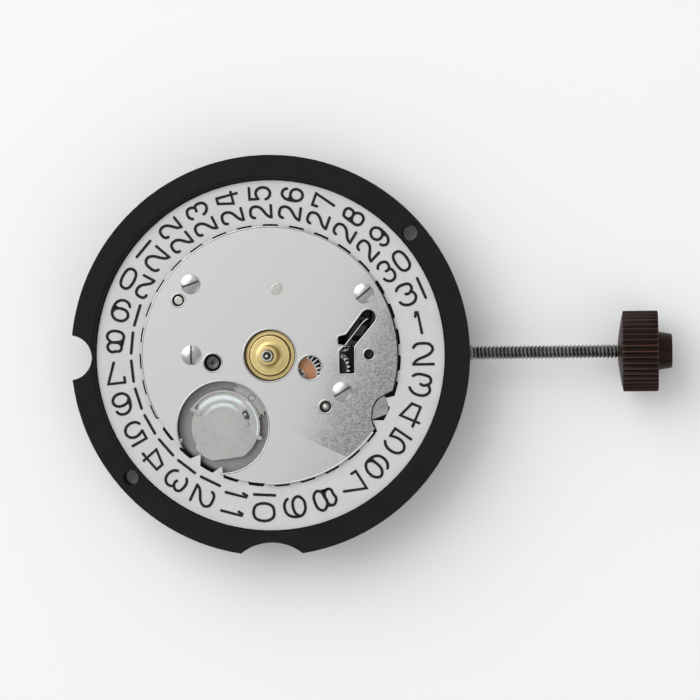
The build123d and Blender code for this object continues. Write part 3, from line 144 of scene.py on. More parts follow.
def rounded(corners, cut, closed=True, steps=6):
    """Turns each corner into a parabola from a cut before it on one edge to a cut after it on the next."""
    corner = np.asarray(corners, float)
    back, ahead = np.roll(corner, 1, 0) - corner, np.roll(corner, -1, 0) - corner
    back_length = np.linalg.norm(back, axis=1, keepdims=True)
    ahead_length = np.linalg.norm(ahead, axis=1, keepdims=True)
    reach = np.minimum(cut, 0.45 * np.minimum(back_length, ahead_length))
    start, end = corner + back / back_length * reach, corner + ahead / ahead_length * reach
    t = np.linspace(0, 1, steps)[None, :, None]
    bend = (1 - t) ** 2 * start[:, None] + 2 * t * (1 - t) * corner[:, None] + t**2 * end[:, None]
    if closed:
        return bend.reshape(-1, 2)
    return np.vstack((corner[:1], bend[1:-1].reshape(-1, 2), corner[-1:]))


def oval(centre, half_width, half_height, steps=12):
    """Closed oval: the centre plus cosine times the half width and sine times the half height."""
    turn = np.linspace(0, 2 * np.pi, steps, endpoint=False)
    return np.stack((centre[0] + half_width * np.cos(turn), centre[1] + half_height * np.sin(turn)), -1)


def turned(profile, place=(0.0, 0.0), sides=96, loop=True, wave=None):
    """Carries a profile of (radius, level) round an upright axis; a wave adds to each radius."""
    turn = np.linspace(0, 2 * np.pi, sides, endpoint=False)
    radius, level = np.asarray(profile, float).T
    radii = np.repeat(radius[:, None], sides, axis=1)
    if wave is not None:
        radii = radii + wave
    levels = np.repeat(level[:, None], sides, axis=1)
    points = np.stack((place[0] + radii * np.cos(turn), place[1] + radii * np.sin(turn), levels), -1)
    return points.reshape(-1, 3), grid_faces(len(radius), sides, loop, True)


def bead(place, level, radius, half_height):
    """Flattened ball: half an oval turned round its upright axis."""
    turn = np.linspace(-np.pi / 2, np.pi / 2, 13)
    outline = np.stack((radius * np.cos(turn), level + half_height * np.sin(turn)), -1)
    return turned(outline, place, 32, loop=False)


def toothed(teeth, root, tip, bore, bottom, top, place=(0.0, 0.0), phase=0.0):
    """Toothed wheel: from root to tip, its radius is a clipped cosine of the angle times the teeth."""
    turn = np.linspace(0, 2 * np.pi, teeth * 12, endpoint=False)
    wave = np.zeros((4, len(turn)))
    wave[2:] = (tip - root) / 2 * np.clip(1.7 * np.cos(teeth * (turn - math.radians(phase))) - 0.5, -1, 1)
    middle = (root + tip) / 2
    profile = ((bore, bottom), (bore, top), (middle, top), (middle, bottom))
    return turned(profile, place, len(turn), wave=wave)


def turned_along_x(x, radii, level=STEM_LEVEL):
    """Round body along the stem: radii by row along x and by angle; its first and last rows close it."""
    turn = np.linspace(0, 2 * np.pi, radii.shape[1], endpoint=False)
    along = np.repeat(x[:, None], radii.shape[1], axis=1)
    points = np.stack((along, radii * np.cos(turn), level + radii * np.sin(turn)), -1)
    return points.reshape(-1, 3), grid_faces(len(x), radii.shape[1], False, True)


def slope(place):
    """How far the date plate's top lies under its flat level: it falls evenly past the slope's edge."""
    offset = np.asarray(place, float) - SLOPE_CORNER
    forward = offset @ SLOPE_AHEAD
    across = offset @ np.array((-SLOPE_AHEAD[1], SLOPE_AHEAD[0]))
    return np.where((forward > 0) & (across > 0), -forward * SLOPE_DEPTH / SLOPE_RUN, 0.0)


def carried(path, section, closed=True, lift=0.0):
    """Carries a closed section of (distance to the left, level) along a flat path, square to it.

    The ends of an open path close on their middle.
    """
    path, section = np.asarray(path, float), np.asarray(section, float)
    ahead = np.roll(path, -1, 0) - np.roll(path, 1, 0) if closed else np.gradient(path, axis=0)
    ahead = ahead / np.linalg.norm(ahead, axis=1, keepdims=True)
    left = np.stack((-ahead[:, 1], ahead[:, 0]), -1)
    spots = path[:, None, :] + left[:, None, :] * section[None, :, :1]
    levels = np.broadcast_to(section[None, :, 1:], (*spots.shape[:2], 1)) + np.reshape(lift, (-1, 1, 1))
    points = np.concatenate((spots, levels), -1)
    if not closed:
        first = np.repeat(points[:1].mean(1, keepdims=True), len(section), axis=1)
        last = np.repeat(points[-1:].mean(1, keepdims=True), len(section), axis=1)
        points = np.concatenate((first, points, last))
    return points.reshape(-1, 3), grid_faces(len(points), len(section), closed, True)


def inside(path, radius):
    """The stretch of a closed path that lies within a circle round the centre, in its own order."""
    keep = np.linalg.norm(path, axis=1) < radius
    first = int(np.argmax(keep & ~np.roll(keep, 1)))
    return np.roll(path, -first, 0)[: int(keep.sum())]


def anticlockwise(path):
    """A closed path in the order that makes twice its signed area positive."""
    ahead = np.roll(path, -1, 0)
    doubled = np.sum(path[:, 0] * ahead[:, 1] - ahead[:, 0] * path[:, 1])
    return path[::-1] if doubled < 0 else path


def marked(surface, painted_shade, painted_highlight_and_grey=0.0):
    """Gives all points of a surface one share of painted shade and one of painted highlight."""
    count = len(surface[0])
    return (*surface, np.full(count, painted_shade), np.full(count, painted_highlight_and_grey))


def stood(mesh, slot, sharp):
    """Stands a mesh in the scene: smooth up to an angle between faces, with one finish."""
    mesh.shade_smooth()
    mesh.set_sharp_from_angle(angle=math.radians(sharp))
    mesh.materials.clear()
    mesh.materials.append(finishes[slot])
    piece = bpy.data.objects.new(mesh.name, mesh)
    bpy.context.scene.collection.objects.link(piece)
    return piece


def put(name, surfaces, body, slot, sharp=35.0):
    """Makes one piece of several surfaces, merges their seams and poles, and lets it ride on a body.

    A surface is points, quads and, where it has them, the share of painted shade and of painted highlight
    at each point.
    """
    mesh = bpy.data.meshes.new(name)
    counts = np.cumsum([0] + [len(surface[0]) for surface in surfaces])
    points = np.concatenate([surface[0] for surface in surfaces]) * MM
    quads = np.concatenate([surface[1] + first for surface, first in zip(surfaces, counts)])
    mesh.from_pydata(points.tolist(), [], quads.tolist())
    for order, name_of_share in enumerate(("painted_shade", "painted_highlight_and_grey"), 2):
        shares = [
            np.ravel(surface[order]) if len(surface) > order else np.zeros(len(surface[0]))
            for surface in surfaces
        ]
        layer = mesh.attributes.new(name_of_share, "FLOAT", "POINT")
        layer.data.foreach_set("value", np.concatenate(shares))
    merged = bmesh.new()
    merged.from_mesh(mesh)
    bmesh.ops.remove_doubles(merged, verts=merged.verts, dist=2e-7)
    bmesh.ops.recalc_face_normals(merged, faces=merged.faces)
    merged.to_mesh(mesh)
    merged.free()
    piece = stood(mesh, slot, sharp)
    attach(piece, body)
    return piece


def merged_copy(node, slot):
    """Stands a merged copy in for a solid, with its flat faces joined again."""
    mesh = frame["nodes"][node].data.copy()
    mesh.name = node + "_finished"
    merged = bmesh.new()
    merged.from_mesh(mesh)
    bmesh.ops.remove_doubles(merged, verts=merged.verts, dist=2e-7)
    bmesh.ops.dissolve_limit(merged, angle_limit=math.radians(0.5), verts=merged.verts, edges=merged.edges)
    merged.to_mesh(mesh)
    merged.free()
    piece = stood(mesh, slot, 30.0)
    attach(piece, BODY_OF[node])
    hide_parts(node)
    return piece


def softened(node, width, slot):
    """Stands a merged copy in for a solid and rounds its edges."""
    piece = merged_copy(node, slot)
    edge = piece.modifiers.new("rounded edges", "BEVEL")
    edge.width = width
    edge.segments = 2
    edge.limit_method = "ANGLE"
    edge.angle_limit = math.radians(40)
    edge.use_clamp_overlap = True
    edge.harden_normals = True
    return piece


# Finishes

# A grain that has the same scale along X, Y and Z.
EVEN = (1.0, 1.0, 1.0)


def add(tree, kind, inputs=None, **settings):
    """Adds a shader node: settings are its properties, inputs are values or what is linked to them.

    A node given as an input stands for its first output.
    """
    node = tree.nodes.new("ShaderNode" + kind)
    for name, value in settings.items():
        setattr(node, name, value)
    for name, value in (inputs or {}).items():
        if isinstance(value, bpy.types.Node):
            value = value.outputs[0]
        if isinstance(value, bpy.types.NodeSocket):
            tree.links.new(value, node.inputs[name])
        else:
            node.inputs[name].default_value = value
    return node


def start_finish(name):
    """An empty material with its tree and the piece's own coordinates, in metres."""
    finish = bpy.data.materials.new(name)
    finish.use_nodes = True
    tree = finish.node_tree
    tree.nodes.clear()
    place = add(tree, "TexCoord").outputs["Object"]
    return finish, tree, place


def end_finish(tree, inputs):
    """Closes a tree with the shader and the output."""
    shader = add(tree, "BsdfPrincipled", inputs)
    add(tree, "OutputMaterial", {"Surface": shader})


def shaded(tree, place, colour, regions=(), highlight_and_grey_tone=""):
    """Darkens a colour with painted shade where the piece's painted shade attribute and some regions give
    it, and lightens it by its painted highlight attribute, which on the black polymer greys the foot-hole
    bottoms.

    A region is an ellipsoid: its centre and half sizes in mm, and the share of painted shade inside and
    outside it.
    """
    painted_shade = add(tree, "Attribute", attribute_name="painted_shade").outputs["Fac"]
    for centre, half_sizes, within, beyond in regions:
        middle, scale = [MM * value for value in centre], [1 / (MM * value) for value in half_sizes]
        offset = add(tree, "VectorMath", {0: place, 1: middle}, operation="SUBTRACT")
        scaled = add(tree, "VectorMath", {0: offset, 1: scale}, operation="MULTIPLY")
        distance = add(tree, "VectorMath", {0: scaled}, operation="LENGTH").outputs["Value"]
        ends = {"From Min": 0.99, "From Max": 1.01, "To Min": within, "To Max": beyond}
        share = add(tree, "MapRange", {"Value": distance, **ends})
        painted_shade = add(tree, "Math", {0: painted_shade, 1: share}, operation="MAXIMUM")
    # the near-black tone that painted shade goes towards
    shade_tone = linear("#080807")
    with_shade = add(tree, "Mix", {"Factor": painted_shade, 6: colour, 7: shade_tone}, data_type="RGBA")
    if not highlight_and_grey_tone:
        return with_shade.outputs[2]
    # painted highlight; on the black polymer it greys the foot-hole bottoms
    painted_highlight_and_grey = add(tree, "Attribute", attribute_name="painted_highlight_and_grey").outputs["Fac"]
    lightened = add(tree, "Mix", {"Factor": painted_highlight_and_grey, 6: with_shade.outputs[2], 7: linear(highlight_and_grey_tone)}, data_type="RGBA")
    return lightened.outputs[2]


def speckled(name, dark, light, grain_mm, relief, inputs, rough, stretch=EVEN, regions=(), highlight_and_grey_tone=""):
    """Finish with a fine grain: its colour goes between two tones, its roughness and relief go with it."""
    finish, tree, place = start_finish(name)
    stretched = add(tree, "Mapping", {"Vector": place, "Scale": stretch})
    fine = {"Vector": stretched, "Scale": 1 / (grain_mm * MM), "Detail": 3.0, "Roughness": 0.6}
    grain = add(tree, "TexNoise", fine)
    cloud = add(tree, "TexNoise", {"Vector": place, "Scale": 0.12 / (grain_mm * MM), "Detail": 2.0})
    both = add(tree, "Math", {0: grain, 1: cloud}, operation="ADD")
    span = {"Value": both, "From Min": 0.7, "From Max": 1.3}
    tone = add(tree, "MapRange", span)
    colour = add(tree, "Mix", {"Factor": tone, 6: dark, 7: light}, data_type="RGBA")
    roughness = add(tree, "MapRange", {**span, "To Min": rough[0], "To Max": rough[1]})
    bump = add(tree, "Bump", {"Height": grain, "Strength": relief, "Distance": 0.02 * MM})
    base = shaded(tree, place, colour.outputs[2], regions, highlight_and_grey_tone)
    end_finish(tree, {"Base Color": base, "Roughness": roughness, "Normal": bump, **inputs})
    return finish


def nickel_plated_sheet(colours):
    """Nickel-plated brass sheet: satin and pale at the upper left, sand-blasted at the lower right."""
    finish, tree, place = start_finish("nickel_plated_brass_sheet")
    spots = add(tree, "SeparateXYZ", {"Vector": place})
    # the blasting grows from 3.6 to 8.4 mm along the line from ten o'clock to four o'clock
    right = add(tree, "Math", {0: spots.outputs["X"], 1: 0.90}, operation="MULTIPLY")
    low = add(tree, "Math", {0: spots.outputs["Y"], 1: -0.43}, operation="MULTIPLY")
    along = add(tree, "Math", {0: right, 1: low}, operation="ADD")
    drift = add(tree, "TexNoise", {"Vector": place, "Scale": 350.0, "Detail": 2.0})
    drifted = add(tree, "Math", {0: drift, 1: 0.0025, 2: along}, operation="MULTIPLY_ADD")
    growth = {"Value": drifted, "From Min": 0.0036, "From Max": 0.0084}
    fade = add(tree, "MapRange", growth, interpolation_type="SMOOTHSTEP")
    # the sunk sector above the slope's edge is blasted fully: left of its line the sheet got a third
    run_x, run_y = SLOPE_AHEAD.tolist()
    across_x = add(tree, "Math", {0: spots.outputs["X"], 1: -run_y}, operation="MULTIPLY")
    across = add(tree, "Math", {0: spots.outputs["Y"], 1: run_x, 2: across_x}, operation="MULTIPLY_ADD")
    line = float((SLOPE_CORNER[0] * -run_y + SLOPE_CORNER[1] * run_x) * MM)
    sector = add(tree, "Math", {0: across, 1: line}, operation="GREATER_THAN")
    kept = add(tree, "MapRange", {"Value": sector, "To Min": 0.3})
    blasted = add(tree, "Math", {0: fade, 1: kept}, operation="MULTIPLY")
    # sand of 0.05 mm, drawn at 0.13 mm so that it shows
    sand = add(tree, "TexNoise", {"Vector": place, "Scale": 7500.0, "Detail": 3.0, "Roughness": 0.6})
    pits = add(tree, "MapRange", {"Value": sand, "From Min": 0.36, "From Max": 0.62})
    dark, light = linear("#7F7F7F"), linear("#ABABAA")
    sanded = add(tree, "Mix", {"Factor": pits, 6: dark, 7: light}, data_type="RGBA").outputs[2]
    tone = add(tree, "Mix", {"Factor": blasted, 6: colours.plate, 7: sanded}, data_type="RGBA")
    roughness = add(tree, "MapRange", {"Value": blasted, "To Min": 0.34, "To Max": 0.52})
    relief = add(tree, "Math", {0: sand, 1: blasted}, operation="MULTIPLY")
    bump = add(tree, "Bump", {"Height": relief, "Strength": 0.55, "Distance": 0.02 * MM})
    colour = tone.outputs[2]
    end_finish(tree, {"Base Color": colour, "Metallic": 1.0, "Roughness": roughness, "Normal": bump})
    return finish


def lathe_turned_brass(colours):
    """Brass turned on a lathe: gold with fine rings round the hand axis."""
    finish, tree, place = start_finish("lathe_turned_brass")
    flat = add(tree, "Mapping", {"Vector": place, "Scale": (1.0, 1.0, 0.0)})
    distance = add(tree, "VectorMath", {0: flat}, operation="LENGTH").outputs["Value"]
    wobble = add(tree, "TexNoise", {"Vector": place, "Scale": 1500.0, "Detail": 2.0})
    # the tool's rings are 0.09 mm apart
    fine = {"W": distance, "Scale": 1 / (0.09 * MM), "Detail": 3.0, "Roughness": 0.7}
    rings = add(tree, "TexNoise", fine, noise_dimensions="1D")
    both = add(tree, "Math", {0: wobble, 1: 0.5, 2: rings}, operation="MULTIPLY_ADD")
    span = {"Value": both, "From Min": 0.5, "From Max": 1.0}
    tone = add(tree, "MapRange", span)
    colour = add(tree, "Mix", {"Factor": tone, 6: colours.brass, 7: colours.brass_light}, data_type="RGBA")
    roughness = add(tree, "MapRange", {**span, "To Min": 0.35, "To Max": 0.45})
    bump = add(tree, "Bump", {"Height": rings, "Strength": 0.35, "Distance": 0.01 * MM})
    base = shaded(tree, place, colour.outputs[2])
    end_finish(tree, {"Base Color": base, "Metallic": 1.0, "Roughness": roughness, "Normal": bump})
    return finish


def wound_copper():
    """Enamelled copper wire wound along X: red-brown glossy turns.

    The real wire is 0.02 mm thick. It is drawn at 0.06 mm so that it shows.
    """
    finish, tree, place = start_finish("enamelled_copper_wire")
    bands = {"Vector": place, "Scale": 5000.0, "Distortion": 0.6, "Detail": 1.0}
    turns = add(tree, "TexWave", bands, wave_type="BANDS", bands_direction="X").outputs["Fac"]
    dark, light = linear("#5A2A14"), linear("#C27A48")
    colour = add(tree, "Mix", {"Factor": turns, 6: dark, 7: light}, data_type="RGBA")
    bump = add(tree, "Bump", {"Height": turns, "Strength": 0.8, "Distance": 0.03 * MM})
    end_finish(tree, {"Base Color": colour.outputs[2], "Metallic": 0.7, "Roughness": 0.32, "Normal": bump})
    return finish


def board_laminate():
    """Solder-masked glass laminate: green with paler tracks under the mask, 0.7 mm apart."""
    finish, tree, place = start_finish("solder_masked_laminate")
    tones = {"Color1": linear("#1E5A3A"), "Color2": linear("#246644"), "Mortar": linear("#4F8A5A")}
    sizes = {"Scale": 380.0, "Mortar Size": 0.03, "Brick Width": 0.9, "Row Height": 0.28}
    cells = add(tree, "TexBrick", {"Vector": place, **sizes, **tones})
    bump = add(tree, "Bump", {"Height": cells.outputs["Fac"], "Strength": 0.3, "Distance": 0.02 * MM})
    end_finish(tree, {"Base Color": cells.outputs["Color"], "Roughness": 0.38, "Normal": bump, "IOR": 1.52})
    return finish


METAL = {"Metallic": 1.0}

# Finishes of one grain. By slot: real material, darker and lighter tone, grain in mm, relief, shader
# inputs, roughness at the two tones and, where they have them, the scale of the grain along X, Y and Z,
# the regions of painted shade, and the lighter tone that the painted highlight goes towards (on the black
# polymer, the grey of its foot-hole bottoms).
GRAINED = {
    # plated and milled: greyer than the sheet, with faint cutter marks
    "nickel_plate": (
        "milled_nickel_plate", "#A1A1A0", "#B2B2B0", 0.25, 0.2, METAL, (0.36, 0.5), EVEN,
        # painted shade darkens the hollows under the floor, the keyless recess, and the trough under the
        # date ring, which is what lies outside an ellipsoid that holds the back cover
        (
            ((0.0, 0.0, -1.50), (900.0, 900.0, 0.45), 0.94, 0.0),
            ((5.3, 0.4, -0.9), (3.7, 3.7, 0.6), 0.99, 0.0),
            ((0.0, 0.0, -3.0), (12.6, 12.6, 2.66), 0.0, 0.98),
            # painted shade greys the milled pocket of the date wheel
            ((-3.10, -4.62, -0.98), (3.1, 3.1, 0.3), 0.30, 0.0),
        ),
    ),
    # glass-filled polymer from a spark-eroded mould: near black, satin, with a fine grain, and pale grey at
    # the bottoms of the two foot holes
    "black_plastic": (
        "moulded_black_polymer", "#090909", "#151515", 0.18, 0.35,
        {"IOR": 1.5, "Specular IOR Level": 0.16}, (0.42, 0.6), EVEN, (), "#F0F0F0",
    ),
    # rolled spring steel: bright, with streaks along X
    "spring_steel": (
        "rolled_spring_steel", "#B4B4B2", "#D2D2CF", 0.3, 0.15, METAL, (0.26, 0.4), (0.3, 1.0, 1.0),
        # painted shade darkens the lever and the yoke at the bottom of the recess, and greys the leaf
        (
            ((0.0, 0.0, -0.90), (900.0, 900.0, 0.13), 0.93, 0.0),
            ((7.9, -3.7, -0.4), (1.4, 1.9, 0.35), 0.35, 0.0),
        ),
        # painted highlight tone of the yoke wire
        "#F2F2F2",
    ),
    # hobbed steel: bright flanks with the cutter's grain
    "gear_steel": (
        "hobbed_gear_steel", "#A9A9A9", "#DCDCDC", 0.09, 0.3, METAL, (0.2, 0.34), EVEN,
        # painted shade darkens the setting wheel's face in the keyless recess; its teeth stay bright
        (((4.20, -0.87, -0.80), (0.79, 0.79, 0.5), 0.95, 0.0),),
    ),
    # acetal: slightly translucent, waxy, greyish white, with a painted highlight along its raised bows
    "pale_plastic": (
        "natural_acetal", "#A4A4A2", "#B4B4B2", 0.6, 0.1,
        {"IOR": 1.48, "Subsurface Weight": 0.25, "Subsurface Scale": 0.4 * MM},
        (0.22, 0.36), EVEN, (), "#F8F8F8",
    ),
    # annealed copper: soft red-brown, matt
    "copper_disc": ("annealed_copper", "copper", "#B98A6C", 0.25, 0.15, METAL, (0.34, 0.46)),
    # compression-moulded phenolic: very dark brown with a dull bloom, with a painted highlight on its ribs
    "crown_plastic": (
        "moulded_phenolic", "crown", "#2C1812", 0.35, 0.25,
        {"IOR": 1.6, "Specular IOR Level": 0.10}, (0.36, 0.52), EVEN, (), "#6A5046",
    ),
    # sprayed silver-white lacquer: matt with a barely visible orange peel
    "ring_lacquer": (
        "silver_white_lacquer", "#C4C4C4", "#CDCDCD", 0.12, 0.15,
        {"IOR": 1.5, "Specular IOR Level": 0.35}, (0.45, 0.6),
    ),
    # pad-printed ink: flat black with tiny pores
    "numeral_ink": (
        "pad_printed_ink", "#070707", "#161616", 0.05, 0.2,
        {"IOR": 1.5, "Specular IOR Level": 0.25}, (0.5, 0.7),
    ),
    # polished nickel-plated steel: bright, with hairline scratches from the screwdriver
    "screw_steel": ("polished_nickel_steel", "#A6A6A6", "#BCBCBC", 0.10, 0.08, METAL, (0.2, 0.3)),
    # polished pins: nearly a mirror, a little warm
    "pin_steel": ("polished_pin_steel", "#C2C2BB", "#D8D8D0", 0.08, 0.10, METAL, (0.14, 0.26)),
    # sintered bush: dark and dull, with open pores
    "grey_bush": ("sintered_steel", "#4A4A4A", "#7C7C7C", 0.06, 0.5, METAL, (0.45, 0.6)),
    # rolled thread: satin grey with bright crests
    "stem_steel": ("rolled_thread_steel", "#7A7A7A", "#B6B6B6", 0.10, 0.4, METAL, (0.28, 0.42)),
    # bonded magnet: near black with a dull shine of powder
    "magnet": ("bonded_magnet", "#3A3A3C", "#55555A", 0.08, 0.3, {"Metallic": 0.6}, (0.4, 0.55)),
    # annealed iron: soft grey, drawn out along its length
    "soft_iron": (
        "annealed_soft_iron", "#8C8C8C", "#A8A8A8", 0.4, 0.2, METAL, (0.36, 0.5), (0.25, 1.0, 1.0),
    ),
    # moulded polymer: cream, satin
    "coil_plastic": ("liquid_crystal_polymer", "#B9B4A2", "#CBC7B7", 0.2, 0.2, {"IOR": 1.5}, (0.4, 0.5)),
    # drawn and brushed can: bright, with fine lines along X
    "battery_steel": (
        "brushed_stainless_steel", "#B7B8BA", "#D8D9DB", 0.06, 0.25, METAL, (0.24, 0.4), (0.06, 1.0, 1.0),
    ),
    # nylon: blue and waxy
    "gasket": ("nylon_gasket", "#35507A", "#4A6590", 0.2, 0.1, {"IOR": 1.53}, (0.35, 0.5)),
    # rolled brass: pale gold with streaks along X
    "contact_brass": (
        "rolled_contact_brass", "#B89A52", "#D6BE7C", 0.3, 0.15, METAL, (0.28, 0.4), (0.3, 1.0, 1.0),
    ),
    # drawn can of the crystal: bright and smooth, with streaks along Y
    "crystal_steel": (
        "drawn_nickel_silver", "#B2B2AE", "#D0D0CC", 0.1, 0.15, METAL, (0.2, 0.34), (1.0, 0.2, 1.0),
    ),
    # tinned wire: soft white metal
    "lead_tin": ("tinned_wire", "#A8A8A8", "#C8C8C8", 0.08, 0.3, METAL, (0.3, 0.45)),
    # epoxy cover: black with a soft gloss
    "chip_resin": ("epoxy_resin", "#0E0E10", "#1C1C1F", 0.3, 0.2, {"IOR": 1.55}, (0.22, 0.4)),
    # polyimide film: amber and glossy
    "sheet_film": ("polyimide_film", "#8A5A1E", "#A87430", 0.8, 0.05, {"IOR": 1.6}, (0.2, 0.3)),
    # ruby bearing: deep red, clear and polished
    "ruby": (
        "synthetic_ruby", "#8E0F2A", "#B41E3C", 0.4, 0.05,
        {"IOR": 1.76, "Transmission Weight": 0.3}, (0.05, 0.12),
    ),
}


def make_finishes(colours):
    """One finish for each material slot; a tone that isn't a hex value is the name of a setting."""
    made = {
        "nickel_sheet": nickel_plated_sheet(colours),
        "brass_wheel": lathe_turned_brass(colours),
        "copper_wire": wound_copper(),
        "board_green": board_laminate(),
    }
    for slot, (name, dark, light, *rest) in GRAINED.items():
        dark = linear(dark) if dark.startswith("#") else getattr(colours, dark)
        made[slot] = speckled(name, dark, linear(light), *rest)
    return made


finishes = {}


# Settings


def tint(name, description, text):
    """A colour setting, with its default as an sRGB hex value."""
    return FloatVectorProperty(
        name=name, description=description, default=linear(text), subtype="COLOR", size=4, min=0.0, max=1.0
    )


def length(name, description, default_mm):
    """A length setting, with its default in millimetres."""
    return FloatProperty(
        name=name, description=description, default=default_mm * MM, min=0.0, precision=5, unit="LENGTH"
    )


def power(name, description, default):
    """The power setting of a lamp, in watts."""
    return FloatProperty(name=name, description=description, default=default, min=0.0, unit="POWER")


class MovementColours(bpy.types.PropertyGroup):
    """Colours that a user would change."""

    plate: tint("Date plate", "Nickel of the date plate where it isn't blasted", "#CECECD")
    brass: tint("Brass", "Darker tone of the turned brass", "#C6AF72")
    brass_light: tint("Light brass", "Lighter tone of the turned brass", "#E1CF9A")
    copper: tint("Copper", "Disc of the minute wheel", "#A5775A")
    crown: tint("Crown", "Darker tone of the moulded crown", "#1E0E09")
    floor: tint("Floor", "Pale floor under the movement", "#F4F4F4")


class MovementSizes(bpy.types.PropertyGroup):
    """Sizes and powers that a user would change."""

    rim_width: length("Rim width", "Width of the bright rim round each opening of the date plate", 0.11)
    rim_height: length("Rim height", "Height of that rim over the date plate", 0.022)
    edge_width: length("Edge rounding", "Width of the rounded edge on moulded and stamped pieces", 0.035)
    ink_spread: length("Ink spread", "How far the printed numerals spread past their drawn outline", 0.035)
    thread_pitch: length("Thread pitch", "Distance from one thread crest of the stem to the next", 0.25)
    crown_ribs: IntProperty(
        name="Crown ribs", description="Number of ribs round the crown", default=42, min=3
    )
    key_power: power("Key light", "Power of the large soft light at the upper left", 0.95)
    fill_power: power("Fill light", "Power of the weak soft light at the lower right", 0.22)


# Pieces


class MOVEMENT_OT_finishes(bpy.types.Operator):
    """Makes the finishes and gives each solid the one of its material slot"""

    bl_idname = "movement.finishes"
    bl_label = "Finishes"

    def execute(self, context):
        finishes.update(make_finishes(context.scene.movement_colours))
        slot_of = {row["node"]: row["material_slot"] for row in frame["record"]["subparts"]}
        for node, piece in frame["nodes"].items():
            finish = finishes[slot_of[node]]
            for place in piece.material_slots:
                place.material = finish
        return {"FINISHED"}


class MOVEMENT_OT_softened_solids(bpy.types.Operator):
    """Rounds the edges of the frame, the date ring and the cover, and spreads the printed numerals"""

    bl_idname = "movement.softened_solids"
    bl_label = "Rounded edges"

    def execute(self, context):
        width = context.scene.movement_sizes.edge_width
        rim = softened("frame", width, "black_plastic")
        # the bottoms of the two dial foot holes are made grey
        middles = np.empty(3 * len(rim.data.polygons))
        rim.data.polygons.foreach_get("center", middles)
        middles = middles.reshape(-1, 3) / MM
        grey_bottoms = np.zeros(len(middles))
        for bottom in FOOT_HOLE_BOTTOMS:
            grey_bottoms[np.linalg.norm(middles - bottom, axis=1) < 0.1] = 1.0
        rim.data.attributes.new("painted_highlight_and_grey", "FLOAT", "FACE").data.foreach_set("value", grey_bottoms)
        softened("date_ring", width / 2, "ring_lacquer")
        softened("back_cover", width / 2, "nickel_plate")
        numerals = merged_copy("date_numerals", "numeral_ink")
        spread = numerals.modifiers.new("ink spread", "DISPLACE")
        spread.direction = "NORMAL"
        spread.mid_level = 0.0
        spread.strength = context.scene.movement_sizes.ink_spread
        return {"FINISHED"}


class MOVEMENT_OT_opening_rims(bpy.types.Operator):
    """Lays a bright rounded rim along every opening and edge of the date plate"""

    bl_idname = "movement.opening_rims"
    bl_label = "Rims of the openings"

    def execute(self, context):
        sizes = context.scene.movement_sizes
        half, rise = sizes.rim_width / MM / 2, sizes.rim_height / MM
        outward = oval((-0.7 * half, PLATE_TOP - 0.3 * rise), half, 1.3 * rise)
        inward = outward * (-1, 1)
        closed_paths = [circle(*HUB_OPENING), circle(*MINUTE_WINDOW)]
        closed_paths += [circle(place, radius, 48) for place, radius in SMALL_OPENINGS]
        slot_arc = circle(SLOT_END, SLOT_END_RADIUS, 14, -45.0, 141.0)
        closed_paths.append(anticlockwise(rounded(np.vstack((KEYLESS_SLOT[::-1], slot_arc)), 0.13)))
        surfaces = [carried(path, outward, True, slope(path)) for path in closed_paths]
        place, radius = DATE_WINDOW
        window = inside(circle(place, radius, 240), PLATE_RADIUS - 0.08)
        surfaces.append(carried(window, outward, False, slope(window)))
        corners = anticlockwise(rounded(BEAK_OPENING, 0.12))
        steps = np.linspace(0, 1, 8, endpoint=False)[None, :, None]
        dense = (corners[:, None] * (1 - steps) + np.roll(corners, -1, 0)[:, None] * steps).reshape(-1, 2)
        beak = inside(dense, PLATE_RADIUS - 0.04)
        edge = PLATE_RADIUS + 0.08
        upper, lower = circle((0, 0), edge, 220, 34.0, 208.0), circle((0, 0), edge, 60, 267.5, 323.0)
        surfaces += [carried(path, inward, False, slope(path)) for path in (upper, lower)]
        # painted shadow darkens the edge at the jumper's beak and the right edge
        right = circle((0, 0), edge, 70, -14.5, 34.0)
        for path, section in ((beak, outward * (0.6, 1.0)), (right, inward)):
            surfaces.append(marked(carried(path, section, False, slope(path)), 0.93))
        put("date_plate_rims", surfaces, "movement", "screw_steel")
        return {"FINISHED"}


